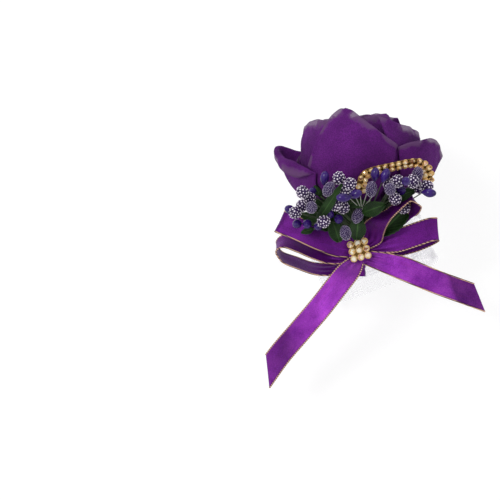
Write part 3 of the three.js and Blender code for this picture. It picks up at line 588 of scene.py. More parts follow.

# Rose: the solids' own tables, with creases and pale, partly see-through rims added
rose = {"radius": 25.5, "height": 45, "foot": 19, "lean": 2.5, "layer": 1, "start": 2.2,
        "backShare": 0.66, "coreRadius": 6.5, "coreHeight": 30, "calyxRadius": 10,
        "calyxHeight": 3.6, "cloth": 0.28, "crease": 0.5, "rimWave": 0.8, "curl": 0.9}
rosePlace = flowerPlace @ Matrix.Translation((0, rose["foot"], 0)) @ Matrix.Rotation(
    radians(rose["lean"]), 4, "Z")
cupProfileShares = [0.35, 0.66, 0.83, 0.92, 0.965, 0.985, 0.98, 0.96, 0.9, 0.8, 0.66]
level = [0, 0, 0, 0, 0]
petalKeys = ("name", "turn", "spread", "foot", "fill", "rim", "slide", "flare", "drop", "roll")
petalRows = [  # turn and spread in degrees, and the rest as shares of the rose's own sizes
    ("inner_1", 20, 72, 0.19, 0.44, [0.84, 0.9, 0.93, 0.9, 0.82], [0.8, -0.8]),
    ("inner_2", 140, 72, 0.19, 0.44, [0.84, 0.9, 0.92, 0.9, 0.84], [0.8, -0.8]),
    ("inner_3", 260, 72, 0.19, 0.44, [0.84, 0.89, 0.94, 0.9, 0.82], [0.8, -0.8]),
    ("middle_1", 60, 70, 0.275, 0.74, [0.84, 0.93, 0.94, 0.9, 0.8], [0.8, -0.8]),
    ("middle_2", 180, 70, 0.275, 0.74, [0.8, 0.88, 0.92, 0.88, 0.8], [0.8, -0.8]),
    ("middle_3", 300, 70, 0.275, 0.74, [0.8, 0.89, 0.91, 0.9, 0.84], [0.8, -0.8]),
    ("front", -6, 46, 0.48, 0.96, [0.45, 0.94, 0.985, 0.8, 0.61], [0, 0]),
    ("left", -85, 50, 0.42, 0.94, [0.7, 0.8, 0.855, 0.9, 0.87], [0.4, -1.9]),
    ("right", 81, 52, 0.385, 1, [0.91, 0.83, 0.77, 0.67, 0.57], [-1.3, 1.4],
     [0.04, 0.03, 0.07, 0.14, 0.1]),
    ("back", 173, 61, 0.37, 1, [0.89, 0.93, 0.93, 0.84, 0.74], [-0.7, -0.7]),
    ("outer_left", -87, 45, 0.52, 0.96, [0.59, 0.65, 0.55, 0.47, 0.365], [0.4, 0.4],
     [0.1, 0.29, 0.145, 0, 0], [0, 0.02, 0.14, 0.23, 0], [0, 0.08, 0.135, 0.1, 0]),
    ("outer_right", 80, 37, 0.45, 1, [0.6, 0.655, 0.655, 0.51, 0.355], [-0.8, 1.7],
     [0, 0.19, 0.32, 0.405, 0.4]),
    ("outer_back_left", -150, 42, 0.505, 1, [0.5, 0.66, 0.7, 0.6, 0.44], [1, 0.4],
     [0, 0.01, 0.02, 0.02, 0]),
    ("outer_back_right", 148, 42, 0.505, 1, [0.46, 0.64, 0.7, 0.64, 0.5], [0.4, -0.6],
     [0.14, 0.1, 0.04, 0.01, 0]),
]
petals = [dict(zip(petalKeys, row)) for row in petalRows]
lipStartShare = 0.72
narrowShare = 0.55


def petalPlace(petal, across, along, lift=0):
    rise = min(along / lipStartShare, 1)
    lip = max((along - lipStartShare) / (1 - lipStartShare), 0)
    climb = rise if "drop" in petal else along
    rim = between(petal["rim"], across) * rose["height"]
    opening = narrowShare + (1 - narrowShare) * sqrt(climb)
    turn = radians(petal["turn"] + petal["spread"] * (2 * across - 1) * opening)
    height = rose["start"] + (rim - rose["start"] + lift) * climb
    growth = between(cupProfileShares, height / rose["height"]) - cupProfileShares[0]
    slide = petal["slide"][0] + (petal["slide"][1] - petal["slide"][0]) * across
    radius = (petal["foot"] + petal["fill"] * growth) * rose["radius"] + slide * rose["layer"]
    radius += between(petal.get("flare", level), across) * rose["radius"] * climb ** 0.6
    if "drop" in petal:
        roll = between(petal["roll"], across) * rose["radius"]
        radius += roll * sin(lip * pi / 2)
        height -= between(petal["drop"], across) * rose["radius"] * lip * lip
        height += roll * lip * (1 - lip)
    depth = radius * cos(turn)
    return Vector((radius * sin(turn), height,
                   depth * rose["backShare"] if depth < 0 else depth))


def creasedPetal(petal, seed):
    def place(across, along):
        wave = noiseAt(across * 6, seed * 3.1, 0) * rose["rimWave"]
        spot = petalPlace(petal, across, along, wave)
        step = 1e-3
        one, other = min(across + step, 1), max(across - step, 0)
        high, low = min(along + step, 1), max(along - step, 0)
        side = petalPlace(petal, one, along, wave) - petalPlace(petal, other, along, wave)
        up = petalPlace(petal, across, high, wave) - petalPlace(petal, across, low, wave)
        out = side.cross(up).normalized()
        folds = noiseAt(across * 6, along * 1.6, seed * 7.7)
        dimples = noiseAt(across * 15, along * 9, seed * 2.3)
        rim = smoothstep(along, 0.86, 1)
        ruffle = noiseAt(across * 11, seed * 5.9, 4) * rim
        shift = rose["crease"] * (folds * along + 0.35 * dimples) + rose["curl"] * ruffle * 0.8
        return spot + out * shift + out * rim * rim * rose["curl"] * 0.5
    return place


def sheetSizes(place):  # widest row and longest column of a grid, in millimetres
    steps = 24
    shares = [k / steps for k in range(steps + 1)]
    rows = [lineLength([place(u, v) for u in shares]) for v in shares]
    columns = [lineLength([place(u, v) for v in shares]) for u in shares]
    return max(rows), max(columns)


def addSheet(name, place, steps, looks, nodes, thick, placed=flowerPlace,
             stockWidth=None):
    wide, long = sheetSizes(place)
    wide = stockWidth or wide
    piece = addPiece(name, shapedGrid(place, *steps), looks, nodes, placed, thick=thick)


def addRoseSheet(name, place, steps, node):
    addSheet(name, place, steps, [petalCloth], [node], rose["cloth"],
             rosePlace)


def makePetals():
    for seed, petal in enumerate(petals):
        name = "petal_" + petal["name"]
        addRoseSheet(name, creasedPetal(petal, seed + 1), (44, 34), "rose_" + name)


def makeHeart():
    heart = {"turns": 2.6, "inner": 1.2, "rim": 0.05, "profile": [0.55, 0.8, 0.97, 1, 0.86, 0.7]}

    def place(across, along):
        angle = across * heart["turns"] * 2 * pi
        radius = heart["inner"] + (rose["coreRadius"] - heart["inner"] - 0.6) * across
        radius *= between(heart["profile"], along)
        top = rose["coreHeight"] * (1 - heart["rim"] * (1 + sin(angle * 1.3 + 1)))
        height = rose["start"] + (top - rose["start"]) * along
        return Vector((radius * sin(angle), height, radius * cos(angle)))
    addRoseSheet("rose_heart", place, (110, 16), "rose_core")


def lathe(profile, steps):  # a closed solid turned about y from (radius, height) points
    made = bmesh.new()
    spots = [made.verts.new((radius, height, 0)) for radius, height in profile]
    edges = [made.edges.new(pair) for pair in zip(spots, spots[1:])]
    bmesh.ops.spin(made, geom=spots + edges, axis=(0, 1, 0), cent=(0, 0, 0), steps=steps,
                   angle=2 * pi, use_merge=True)
    bmesh.ops.remove_doubles(made, verts=made.verts, dist=1e-4)
    bmesh.ops.recalc_face_normals(made, faces=made.faces)
    return made


def makeCalyx():
    foot = rose["start"] - 2 * gap
    low = foot - rose["calyxHeight"]
    wide = rose["calyxRadius"]
    profile = [(0, low), (2.6, low), (3.1, low + 0.25), (wide * 0.6, low + 1.5),
               (wide * 0.88, foot - 0.9), (wide - 0.15, foot - 0.5), (wide, foot - 0.3),
               (wide - 0.2, foot), (0, foot)]
    addPiece("calyx", lathe(profile, 40), [floralTape], ["rose_calyx"],
             rosePlace)


makePetals()
makeHeart()
makeCalyx()
print("rose made")

# Stem, its wrap, the knot and the pad
stem = {"radius": 2.1, "below": 12, "above": 14.8, "wrapInner": 2.4, "wrapOuter": 3.1,
        "wrapAbove": 2.5, "turns": 4, "collarOuter": 4.2, "collarHeight": 6}
knot = {"width": 10, "height": 13, "back": 3.8, "depth": 2.6, "folds": 0.32}


def makeStem():
    low, high, wide = -stem["below"], stem["above"], stem["radius"]
    rings = 36
    profile = [(0, low), (wide * 0.9, low), (wide, low + 0.2)]
    profile += [(wide * (1 - 0.04 * (k % 3 == 0)), low + 0.2 + (high - low - 0.4) * k / rings)
                for k in range(1, rings)]
    profile += [(wide, high - 0.2), (wide * 0.9, high), (0, high)]
    addPiece("stem", lathe(profile, 28), [floralTape], ["stem"])


def makeWrap():  # ribbon wound down the stub, each turn lapping the one before
    low, high = -stem["below"], stem["wrapAbove"]
    inner, outer = stem["wrapInner"], stem["wrapOuter"]
    step = (high - low) / stem["turns"]
    profile = [(inner, low), (outer - 0.15, low)]
    for k in range(stem["turns"]):
        base = low + step * k
        profile += [(outer, base + 0.15), (outer, base + step * 0.55), (outer - 0.3, base + step)]
    profile += [(inner, high), (inner, low)]
    addPiece("stem_wrap", lathe(profile, 36), [satin], ["stem_ribbon_wrap"])


def makeKnot():
    made = bmesh.new()
    bmesh.ops.create_cube(made, size=1)
    bmesh.ops.subdivide_edges(made, edges=made.edges, cuts=17, use_grid_fill=True)
    middle = knot["back"] + knot["depth"] / 2
    for vert in made.verts:
        x, y, z = vert.co * 2
        front = z > 0.9
        side = sqrt(max(1 - 0.5 * z * z, 0)) if abs(x) > 0.9 else 1
        wide = knot["width"] / 2 * (1 - 0.16 * y * y * (1 - 0.3 * z)) * side
        high = knot["height"] / 2 * (1 - 0.1 * x * x)
        deep = knot["depth"] / 2 * (1 - 0.3 * x ** 4) * (1 - 0.25 * y ** 4)
        fold = knot["folds"] * sin(x * 7 + 0.9 * sin(y * 2.4)) - 0.2
        vert.co = Vector((x * wide, y * high, middle + z * deep + fold * front))
    bmesh.ops.smooth_vert(made, verts=made.verts, factor=0.5, use_axis_x=True, use_axis_y=True,
                          use_axis_z=True)
    mapShares(made, knot["width"], knot["height"])
    inner, outer, half = stem["wrapOuter"] + gap, stem["collarOuter"], stem["collarHeight"] / 2
    ring = lathe([(inner, -half), (outer, -half), (outer + 0.05, 0), (outer, half),
                  (inner, half), (inner, -half)], 32)
    joinMesh(made, meshOf("collar", ring))
    addPiece("knot", made, [satin], ["bow_knot"])


def makePad():
    pad = {"width": 10, "length": 9.4, "forward": 3, "seat": 19.4, "collar": 4.5, "round": 0.6}
    rise = tan(radians(flower["lift"]))
    below = pad["collar"] / cos(radians(flower["lift"]))
    made = bmesh.new()
    bmesh.ops.create_cube(made, size=1)
    for vert in made.verts:
        run = pad["forward"] + vert.co.y * pad["length"]
        top = flower["knot"][2] + rise * run - below
        height = pad["seat"] if vert.co.z < 0 else top
        vert.co = Vector((vert.co.x * pad["width"], run, height))
    roundEdges(made, pad["round"], 4)
    turned = toMetres @ Matrix.Translation((flower["knot"][0], flower["knot"][1], 0))
    turned = turned @ Matrix.Rotation(radians(flower["turn"]), 4, "Z")
    piece = addPiece("pad", made, [felt], ["wedge_pad"], turned)


makeStem()
makeWrap()
makeKnot()
makePad()
print("stem made")

# Rhinestones: a cup, four prongs and a faceted stone, joined into one mesh per setting
stones = {"pitch": 3.3, "archPitch": 3.0, "rowPitch": 2.9, "patchCup": 1.6, "archCup": 1.46,
          "high": 1.3, "tape": 0.8, "archRoom": 1.75, "margin": 0.5, "turn": 14, "crown": 0.55,
          "patchGirdle": 0.82, "archGirdle": 0.72, "table": 0.66, "prong": 0.2, "prongs": 4}


def addStone(made, place, turn, wide, girdle):  # cup, four prongs, then a stone of the second look
    spun = place @ Matrix.Rotation(turn, 4, "Z")
    high = stones["high"]
    for radii, low, tall, sides, look in (
            ((wide * 0.86, wide), 0, high * 0.55, 16, 0),
            ((wide * girdle, wide * girdle * stones["table"]), high * 0.55, stones["crown"],
             10, 1)):
        found = bmesh.ops.create_cone(
            made, cap_ends=True, segments=sides, radius1=radii[0], radius2=radii[1], depth=tall,
            matrix=spun @ Matrix.Translation((0, 0, low + tall / 2)))
        paintFound(found, look)
    out = wide * 0.9
    for k in range(stones["prongs"]):
        angle = (k + 0.5) * 2 * pi / stones["prongs"]
        spot = Matrix.Translation((out * cos(angle), out * sin(angle), high * 0.66))
        bmesh.ops.create_icosphere(made, subdivisions=1, radius=stones["prong"],
                                   matrix=spun @ spot)


def makePatch():
    made = bmesh.new()
    half = stones["pitch"] + stones["margin"]
    place = Matrix.Translation((0, 0, knot["back"] + knot["depth"] + gap + stones["tape"] / 2))
    place = place @ Matrix.Rotation(radians(stones["turn"]), 4, "Z")
    thin = Matrix.Diagonal((2 * half, 2 * half, stones["tape"], 1))
    bmesh.ops.create_cube(made, size=1, matrix=place @ thin)
    roundEdges(made, 0.25, 2)
    paintFound({"verts": made.verts}, 2)
    for column in (-1, 0, 1):
        for row in (-1, 0, 1):
            spot = Matrix.Translation((column * stones["pitch"], row * stones["pitch"],
                                       stones["tape"] / 2))
            addStone(made, place @ spot, random.uniform(0, 1), stones["patchCup"],
                     stones["patchGirdle"])
    addPiece("stone_patch", made, [gold, crystal, tapeBack], ["rhinestone_patch"],
             smooth=False)


archPlaceShares = [
    (0.01, 0.56, 0.57), (0.01, 0.67, 0.635), (0.05, 0.75, 0.64), (0.12, 0.785, 0.655),
    (0.24, 0.815, 0.66), (0.36, 0.84, 0.655), (0.48, 0.865, 0.64), (0.575, 0.865, 0.6),
    (0.645, 0.825, 0.54), (0.68, 0.75, 0.48), (0.67, 0.67, 0.405), (0.665, 0.655, 0.365)]
archFaceTurns = [20, 30, 42, 50, 52, 52, 52, 45, 25, 5, -10, -20]
archSteps = 200
archLine, archLength = evenLine([facePoint(*place) for place in archPlaceShares], archSteps)


def archFrame(share):
    k, t = stepAt(share, archSteps)
    spot = archLine[k].lerp(archLine[k + 1], t)
    ahead = (archLine[min(k + 2, archSteps)] - archLine[max(k - 1, 0)]).normalized()
    flat = Vector((ahead.y, -ahead.x, 0)).normalized()
    across = Quaternion(ahead, radians(between(archFaceTurns, share))) @ flat
    return spot, ahead, across


def makeArch():
    def place(across, along):
        spot, _, side = archFrame(along)
        return spot + side * (across - 0.5) * stones["rowPitch"] * 1.3
    made = shapedGrid(place, 4, 90)
    bmesh.ops.recalc_face_normals(made, faces=made.faces)
    bmesh.ops.solidify(made, geom=made.faces[:], thickness=stones["tape"] * 0.6)
    paintFound({"verts": made.verts}, 2)
    columns = int(archLength / stones["archPitch"])
    for k in range(columns):
        spot, ahead, across = archFrame((k + 0.5) / columns)
        out = across.cross(ahead)
        basis = Matrix((across, ahead, out)).transposed().to_4x4()
        for side in (-0.5, 0.5):
            middle = spot + across * side * stones["rowPitch"]
            turned = Matrix.Translation(middle + out * 0.15) @ basis
            addStone(made, turned, random.uniform(0, 1), stones["archCup"], stones["archGirdle"])
    addPiece("stone_arch", made, [gold, honeyCrystal, tapeBack], ["rhinestone_arch"],
             smooth=False)


random.seed(11)
makePatch()
makeArch()
print("rhinestones made")

# Sprays: the solids' own places, tilts and wires
sprays = {"wire": 0.26, "bareWire": 0.17, "gap": 0.35, "layer": 1.4, "roseRoom": 1.8,
          "roseRamp": 9, "archBalls": 18, "slotSpread": 6.4, "slotHeight": 11,
          "liftStep": 0.25, "left": 0.31, "right": 0.1}
pipKinds = {  # specks: how many, their size and how deep they sit
    "smooth": {"radius": 2.05, "length": 6.8, "neck": 0.35, "specks": (0, 0, 0),
               "looks": [smoothBead, wireLook, paleWire]},
    "dotted": {"radius": 2.8, "length": 6.6, "neck": 0.15, "specks": (54, 0.44, 0.18),
               "looks": [darkBead, wireLook, paleDot]},
    "frosted": {"radius": 2.5, "length": 7.6, "neck": 0.2, "specks": (210, 0.17, 0.02),
                "looks": [frostedBead, wireLook, sugarGrain]}}
sprigRows = [  # slot and layer, then a pip's x, y as shares, tilt in degrees and how side-on it is
    ("pips_smooth_left", -0.95, 0, [
        (-0.69, 0.4, 160, 0.6), (-0.62, 0.26, 200, 0.3), (-0.52, 0.26, 250, 0.3),
        (-0.41, 0.24, 250, 0.3)]),
    ("pips_smooth_inner_left", -0.42, 0.5, [(-0.46, 0.57, 100, 0.5), (-0.35, 0.71, 82, 0.95)]),
    ("pips_smooth_right", 0.35, 0, [(0.147, 0.745, 85, 0.95), (0.245, 0.735, 68, 1)]),
    ("pips_dotted_left", -0.9, 1, [
        (-0.57, 0.44, 160, 0.3), (-0.5, 0.51, 120, 0.3), (-0.57, 0.57, 110, 0.5),
        (-0.64, 0.37, 180, 0.3)]),
    ("pips_dotted_middle", -0.15, 0, [
        (-0.14, 0.58, 180, 0.5), (-0.21, 0.71, 80, 0.6), (-0.1, 0.65, 60, 0.5)]),
    ("pips_dotted_right", 0.55, 0.5, [(0.29, 0.65, 120, 0.5), (0.37, 0.68, 90, 0.5)]),
    ("pips_frosted_left", -0.7, 2, [(-0.31, 0.6, 60, 0.9), (-0.48, 0.42, 80, 0.4)]),
    ("pips_frosted_right", 0.7, 2, [
        (0.11, 0.6, 85, 0.9), (0.57, 0.75, 80, 0.8), (0.295, 0.6, 80, 0.4)]),
    ("pips_dotted_outer_right", 0.95, 1.5, [
        (0.52, 0.68, 90, 0.9), (0.595, 0.62, 40, 0.4), (0.66, 0.63, 10, 0.8)]),
    ("pips_smooth_outer_right", 0.85, 0, [
        (0.41, 0.585, 40, 0.5), (0.45, 0.675, 90, 0.3), (0.68, 0.565, 355, 1)]),
    ("pips_smooth_middle", -0.1, 1.5, [(-0.05, 0.55, 20, 0.9), (-0.165, 0.515, 178, 1)]),
    ("pips_dotted_low_right", 1, 2.8, [(0.44, 0.42, 60, 0.4), (0.35, 0.505, 60, 0.2)]),
    ("pips_smooth_low", -0.6, 2.5, [(-0.21, 0.31, 280, 0.4), (-0.3, 0.355, 120, 0.3)]),
    ("pips_dotted_low", -0.3, 2.8, [
        (-0.165, 0.42, 60, 0.4), (-0.245, 0.45, 120, 0.5), (-0.36, 0.28, 200, 0.5)]),
    ("pip_frosted_low", -0.4, 2, [(-0.14, 0.17, 100, 0.8)]),
    ("pip_frosted_centre", -0.1, 2.5, [(-0.02, 0.34, 70, 0.95)]),
]
sprigs = [{"name": name, "kind": name.split("_")[1], "slot": slot, "layer": layer, "pips": pips}
          for name, slot, layer, pips in sprigRows]


def roseFront(x, y):  # how far the front petal stands out at a place on the face
    petal = next(one for one in petals if one["name"] == "front")
    height = min(max(y - rose["foot"], rose["start"]), rose["height"])
    growth = between(cupProfileShares, height / rose["height"]) - cupProfileShares[0]
    radius = (petal["foot"] + petal["fill"] * growth) * rose["radius"] + rose["layer"]
    side = min(abs(x), radius)
    ramp = smoothstep(y, rose["foot"] - sprays["roseRamp"], rose["foot"] + rose["start"])
    return ramp * sqrt(radius * radius - side * side)


def wireLevel(x, y):
    reach = flower["reach"]
    side = smoothstep(x / reach, -0.06, 0.08)
    low = (sprays["left"] + (sprays["right"] - sprays["left"]) * side) * reach
    return max(low, roseFront(x, y) + sprays["roseRoom"])


def pipBalls(pip):
    run = pip["length"] / 2 - pip["radius"]
    return [pip["centre"] + pip["axis"] * share for share in (-run, 0, run)]


def settle(pip, placed):
    balls = pipBalls(pip)
    room = pip["radius"] + sprays["gap"]
    lift = 0

    def clear():
        return all((ball + Vector((0, 0, lift)) - spot).length >= room + radius
                   for ball in balls for spot, radius in placed)
    while not clear():
        lift += sprays["liftStep"]
    pip["centre"].z += lift


def placePips():
    balls = sprays["archBalls"]
    placed = [(archFrame(k / balls)[0], stones["archRoom"]) for k in range(balls + 1)]
    reach = flower["reach"]
    for sprig in sprigs:
        kind = pipKinds[sprig["kind"]]
        sprig["placed"] = []
        for x, y, tilt, side in sprig["pips"]:
            turn = radians(tilt)
            away = sqrt(max(1 - side * side, 0.02))
            axis = Vector((cos(turn) * side, sin(turn) * side, away)).normalized()
            clear = kind["radius"] + sprays["gap"] + 3 * sprays["layer"]
            lift = max((0.3 + 0.5 * (y - 0.18) - 0.2 * x * x) * reach,
                       wireLevel(x * reach, y * reach) + clear)
            pip = {"centre": Vector((x * reach, y * reach, lift)), "axis": axis, **kind}
            settle(pip, placed)
            placed += [(ball, kind["radius"]) for ball in pipBalls(pip)]
            sprig["placed"].append(pip)


def pipFrame(pip):  # turns local z to the pip's axis and sets it at its middle
    turn = pip["axis"].to_track_quat("Z", "Y").to_matrix().to_4x4()
    return Matrix.Translation(pip["centre"]) @ turn


def addBud(made, pip):  # a ball stretched, with a neck below
    found = bmesh.ops.create_uvsphere(made, u_segments=22, v_segments=16, radius=1)
    for vert in found["verts"]:
        x, y, z = vert.co
        slim = pip["radius"] * (1 - pip["neck"] * smoothstep(-z, 0, 1))
        vert.co = Vector((x * slim, y * slim, z * pip["length"] / 2))
    bmesh.ops.transform(made, matrix=pipFrame(pip), verts=found["verts"])


def addSpecks(made, pip):  # small balls at even steps of a spiral
    count, size, sink = pip["specks"]
    wide, high = pip["radius"] - sink, pip["length"] / 2 - sink
    for k in range(count):
        height = 1 - 2 * (k + 0.5) / count
        angle = k * pi * (3 - sqrt(5)) + random.uniform(-0.12, 0.12)
        flat = sqrt(1 - height * height) * wide
        spot = Vector((flat * cos(angle), flat * sin(angle), height * high))
        radius = size * random.uniform(0.75, 1.2)
        found = bmesh.ops.create_icosphere(made, subdivisions=1, radius=radius,
                                           matrix=pipFrame(pip) @ Matrix.Translation(spot))
        paintFound(found, 2)


def wireLines(sprig):
    lines = []
    start = Vector((sprays["slotSpread"] * sprig["slot"], sprays["slotHeight"], 0))
    start.z = wireLevel(start.x, start.y) + (sprig["layer"] - 1) * sprays["layer"]
    for pip in sprig["placed"]:
        foot = pip["centre"] - pip["axis"] * pip["length"] * 0.36
        route = [start]
        for share in (0.25, 0.5, 0.75, 0.93):
            spot = start.lerp(foot, share)
            spot.z = wireLevel(spot.x, spot.y) + sprig["layer"] * sprays["layer"]
            route.append(spot)
        lines.append(evenLine(route + [foot], 26)[0])
    return lines


def paleLines():  # bare wire ends that fan out over the leaves
    ends = [(-0.12, 0.53), (-0.06, 0.56), (0.0, 0.58), (0.07, 0.57), (0.13, 0.54), (0.1, 0.49)]
    lines = []
    for k, (x, y) in enumerate(ends):
        route = []
        for share in (0, 0.5, 1):
            spot = facePoint(0.02 + (x - 0.02) * share, 0.4 + (y - 0.4) * share, 0)
            spot.z = wireLevel(spot.x, spot.y) + 3.6 + 0.5 * k * share
            route.append(spot)
        lines.append(evenLine(route, 12)[0])
    return lines


def makeSprays():
    placePips()
    for sprig in sprigs:
        made, node, kind = bmesh.new(), sprig["name"], sprig["kind"]
        for pip in sprig["placed"]:
            addBud(made, pip)
            addSpecks(made, pip)
        joinMesh(made, tubes(wireLines(sprig), sprays["wire"]), 1)
        if node == "pips_smooth_middle":
            joinMesh(made, tubes(paleLines(), sprays["bareWire"]), 2)
        addPiece("spray_" + node, made, pipKinds[kind]["looks"], [node])


makeSprays()
print("sprays made")

# Leaves: base and tip as shares, then the blade's width as a share
leaves = [
    ("leaf_long", (-0.43, 0.27, 0.5), (-0.18, 0.65, 0.86), 0.1),
    ("leaf_left_small", (-0.385, 0.53, 0.47), (-0.45, 0.64, 0.5), 0.06),
    ("leaf_left_low", (-0.46, 0.21, 0.325), (-0.58, 0.17, 0.32), 0.07),
    ("leaf_oval_low", (-0.2, 0.08, 0.36), (-0.28, 0.33, 0.395), 0.15),
    ("leaf_centre", (-0.03, 0.1, 0.33), (-0.01, 0.34, 0.4), 0.17),
    ("leaf_dark", (0.09, 0.46, 0.45), (-0.2, 0.46, 0.46), 0.09),
    ("leaf_right_oval", (0.03, 0.37, 0.48), (0.25, 0.45, 0.66), 0.15),
    ("leaf_right_back", (0.3, 0.5, 0.47), (0.56, 0.6, 0.49), 0.12),
    ("leaf_in_loop", (0.2, 0.15, 0.2), (0.54, 0.49, 0.26), 0.21),
    ("leaf_under_left", (-0.17, 0.22, 0.2), (-0.6, 0.36, 0.21), 0.17),
    ("leaf_under_middle", (-0.1, 0.25, 0.1), (-0.3, 0.44, 0.14), 0.17),
    ("leaf_under_right", (0.14, 0.3, 0.05), (0.4, 0.44, 0.1), 0.17),
]
fillerLeaves = [  # small blades low between the sprigs, in the scene alone
    ("filler_leaf_left", (-0.08, 0.24, 0.14), (-0.22, 0.5, 0.26), 0.15),
    ("filler_leaf_middle", (-0.02, 0.24, 0.14), (-0.03, 0.52, 0.3), 0.16),
    ("filler_leaf_right", (0.07, 0.2, 0.1), (0.12, 0.5, 0.2), 0.16),
    ("filler_leaf_far", (-0.2, 0.34, 0.16), (-0.54, 0.49, 0.26), 0.17),
    ("filler_leaf_outer", (0.18, 0.36, 0.05), (0.42, 0.54, 0.2), 0.15),
]
stalk = {"foot": (0.4, 12, 2), "radius": 0.2, "sag": 1.2, "steps": 12}


def makeLeaves():
    for seed, (name, base, tip, width) in enumerate(leaves + fillerLeaves):
        start, ahead = facePoint(*base), facePoint(*tip) - facePoint(*base)
        side = Vector((ahead.y, -ahead.x, 0)).normalized()
        wide = width * flower["reach"]

        def place(across, along):
            half = wide * 0.5 * sin(pi * (0.08 + 0.88 * along ** 0.85))
            half *= 1 + 0.05 * sin(along * 60)
            reach = 2 * across - 1
            spot = start + ahead * along + side * reach * half
            spot.z += wide * (0.35 * sin(pi * along) - 0.22 * (1 - reach * reach))
            spot.z += 0.25 * noiseAt(across * 3, along * 5, seed)
            return spot
        steps, foot = stalk["steps"], Vector(stalk["foot"])
        line = [start.lerp(foot, k / steps)
                - Vector((0, 0, stalk["sag"] * sin(pi * k / steps)))
                for k in range(steps + 1)]
        made = shapedGrid(place, 14, 36)
        joinMesh(made, tubes([line], stalk["radius"]), 1)
        addPiece(name + "_blade", made, [waxedLeaf, wireLook],
                 [name] if name.startswith("leaf_") else (), thick=0.3)


makeLeaves()
print("leaves made")

# Ribbons: x, y, z as shares, lean and turn of the width in degrees, how much of it is left
ribbon = {"width": 10, "cloth": 0.25, "edge": 0.33, "wave": 0.4, "gather": 1.1, "steps": 220}
ribbons = {
    "bow_loop_upper_left": [
        (-0.07, 0.01, 0.11, 68, 0, 0.75), (-0.19, 0.035, 0.14, 67, 0, 0.92),
        (-0.38, 0.11, 0.19, 66, 0, 1), (-0.6, 0.21, 0.17, 65, 0, 1),
        (-0.76, 0.275, 0.13, 64, 0, 1), (-0.79, 0.285, 0.09, 64, 0, 1),
        (-0.7, 0.25, 0.045, 65, 0, 1), (-0.4, 0.15, 0.045, 66, 0, 0.95),
        (-0.18, 0.09, 0.07, 67, 0, 0.6), (-0.07, 0.075, 0.085, 68, 0, 0.35)],
    "bow_loop_lower_left": [
        (-0.07, -0.05, 0.1, 95, 0, 0.4), (-0.2, -0.06, 0.075, 92, -20, 0.7),
        (-0.33, -0.04, 0.05, 91, -35, 0.95), (-0.47, -0.005, 0.03, 90, -45, 1),
        (-0.62, 0.05, 0.01, 90, -52, 1), (-0.76, 0.085, 0.01, 88, -58, 1),
        (-0.825, 0.03, 0.01, 86, -63, 1), (-0.78, -0.06, 0.01, 88, -63, 1),
        (-0.61, -0.13, -0.01, 90, -60, 1), (-0.42, -0.19, -0.03, 90, -55, 0.95),
        (-0.24, -0.18, -0.01, 92, -42, 0.75), (-0.07, -0.09, 0.075, 95, -8, 0.35)],
    "bow_loop_upper_right": [
        (0.06, 0.04, 0.122, -25, 0, 0.5), (0.13, 0.11, 0.14, -25, 2, 0.8),
        (0.15, 0.22, 0.26, -25, 20, 1), (0.2, 0.29, 0.39, -25, 42, 1),
        (0.3, 0.37, 0.48, -35, 65, 1), (0.42, 0.47, 0.5, -60, 68, 1),
        (0.52, 0.53, 0.48, -80, 66, 1), (0.555, 0.45, 0.45, -20, 62, 1),
        (0.525, 0.34, 0.34, 20, 60, 1), (0.44, 0.26, 0.17, 60, 45, 1),
        (0.3, 0.2, 0.075, 105, 8, 0.75), (0.18, 0.15, 0.055, 112, 5, 0.5),
        (0.07, 0.11, 0.09, 112, 5, 0.3)],
    "bow_loop_lower_right": [
        (0.07, 0.02, 0.098, 108, 0, 0.4), (0.19, 0.05, 0.1, 108, 0, 0.7),
        (0.36, 0.085, 0.15, 108, 0, 0.95), (0.55, 0.15, 0.165, 106, 0, 1),
        (0.72, 0.205, 0.125, 100, 0, 1), (0.785, 0.205, 0.075, 96, 0, 1),
        (0.72, 0.165, 0.03, 100, 0, 1), (0.52, 0.08, 0.015, 106, 0, 0.95),
        (0.3, 0.02, 0.015, 108, 0, 0.8), (0.16, 0.01, 0.04, 108, 0, 0.5),
        (0.07, 0.02, 0.07, 108, 0, 0.3)],
    "ribbon_tail_right": [
        (0.07, -0.075, 0.125, 72, 0, 0.6), (0.26, -0.125, 0.13, 70, 0, 0.85),
        (0.43, -0.18, 0.115, 69, 0, 1), (0.76, -0.315, 0.06, 69, 0, 1),
        (1.05, -0.42, 0.01, 70, 0, 1), (1.3, -0.51, -0.04, 70, 0, 1)],
    "ribbon_tail_left": [
        (-0.02, -0.09, 0.13, 165, 0, 0.6), (-0.09, -0.19, 0.135, 155, 0, 0.95),
        (-0.2, -0.33, 0.13, 144, 0, 1), (-0.39, -0.575, 0.09, 141, 0, 1),
        (-0.59, -0.81, 0.03, 141, 0, 1), (-0.79, -1.045, -0.03, 141, 0, 1),
        (-0.98, -1.31, -0.07, 141, 0, 1)],
}
ribbonCuts = {"ribbon_tail_right": 0.15, "ribbon_tail_left": 0.12}
# Painted sheen: how bright each tail is along its length, with highlight and shade painted into
# its colour.
paintedTailSheen = {
    "ribbon_tail_right": [(0, 0.35), (0.16, 0.75), (0.34, 1), (0.55, 0.8), (0.75, 0.65),
                          (0.79, 0.3), (1, 0.35)],
    "ribbon_tail_left": [(0, 0.3), (0.2, 0.42), (0.34, 0.8), (0.52, 1), (0.68, 0.8), (0.84, 0.35),
                         (1, 0.5)]}
# The tails' satin is painted brighter than the loops' satin: painted light on the same cloth.
litTailSatins = {name: satinLook("satin of " + name.replace("_", " "), (124, 26, 160),
                              (200, 84, 230), sheen) for name, sheen in paintedTailSheen.items()}


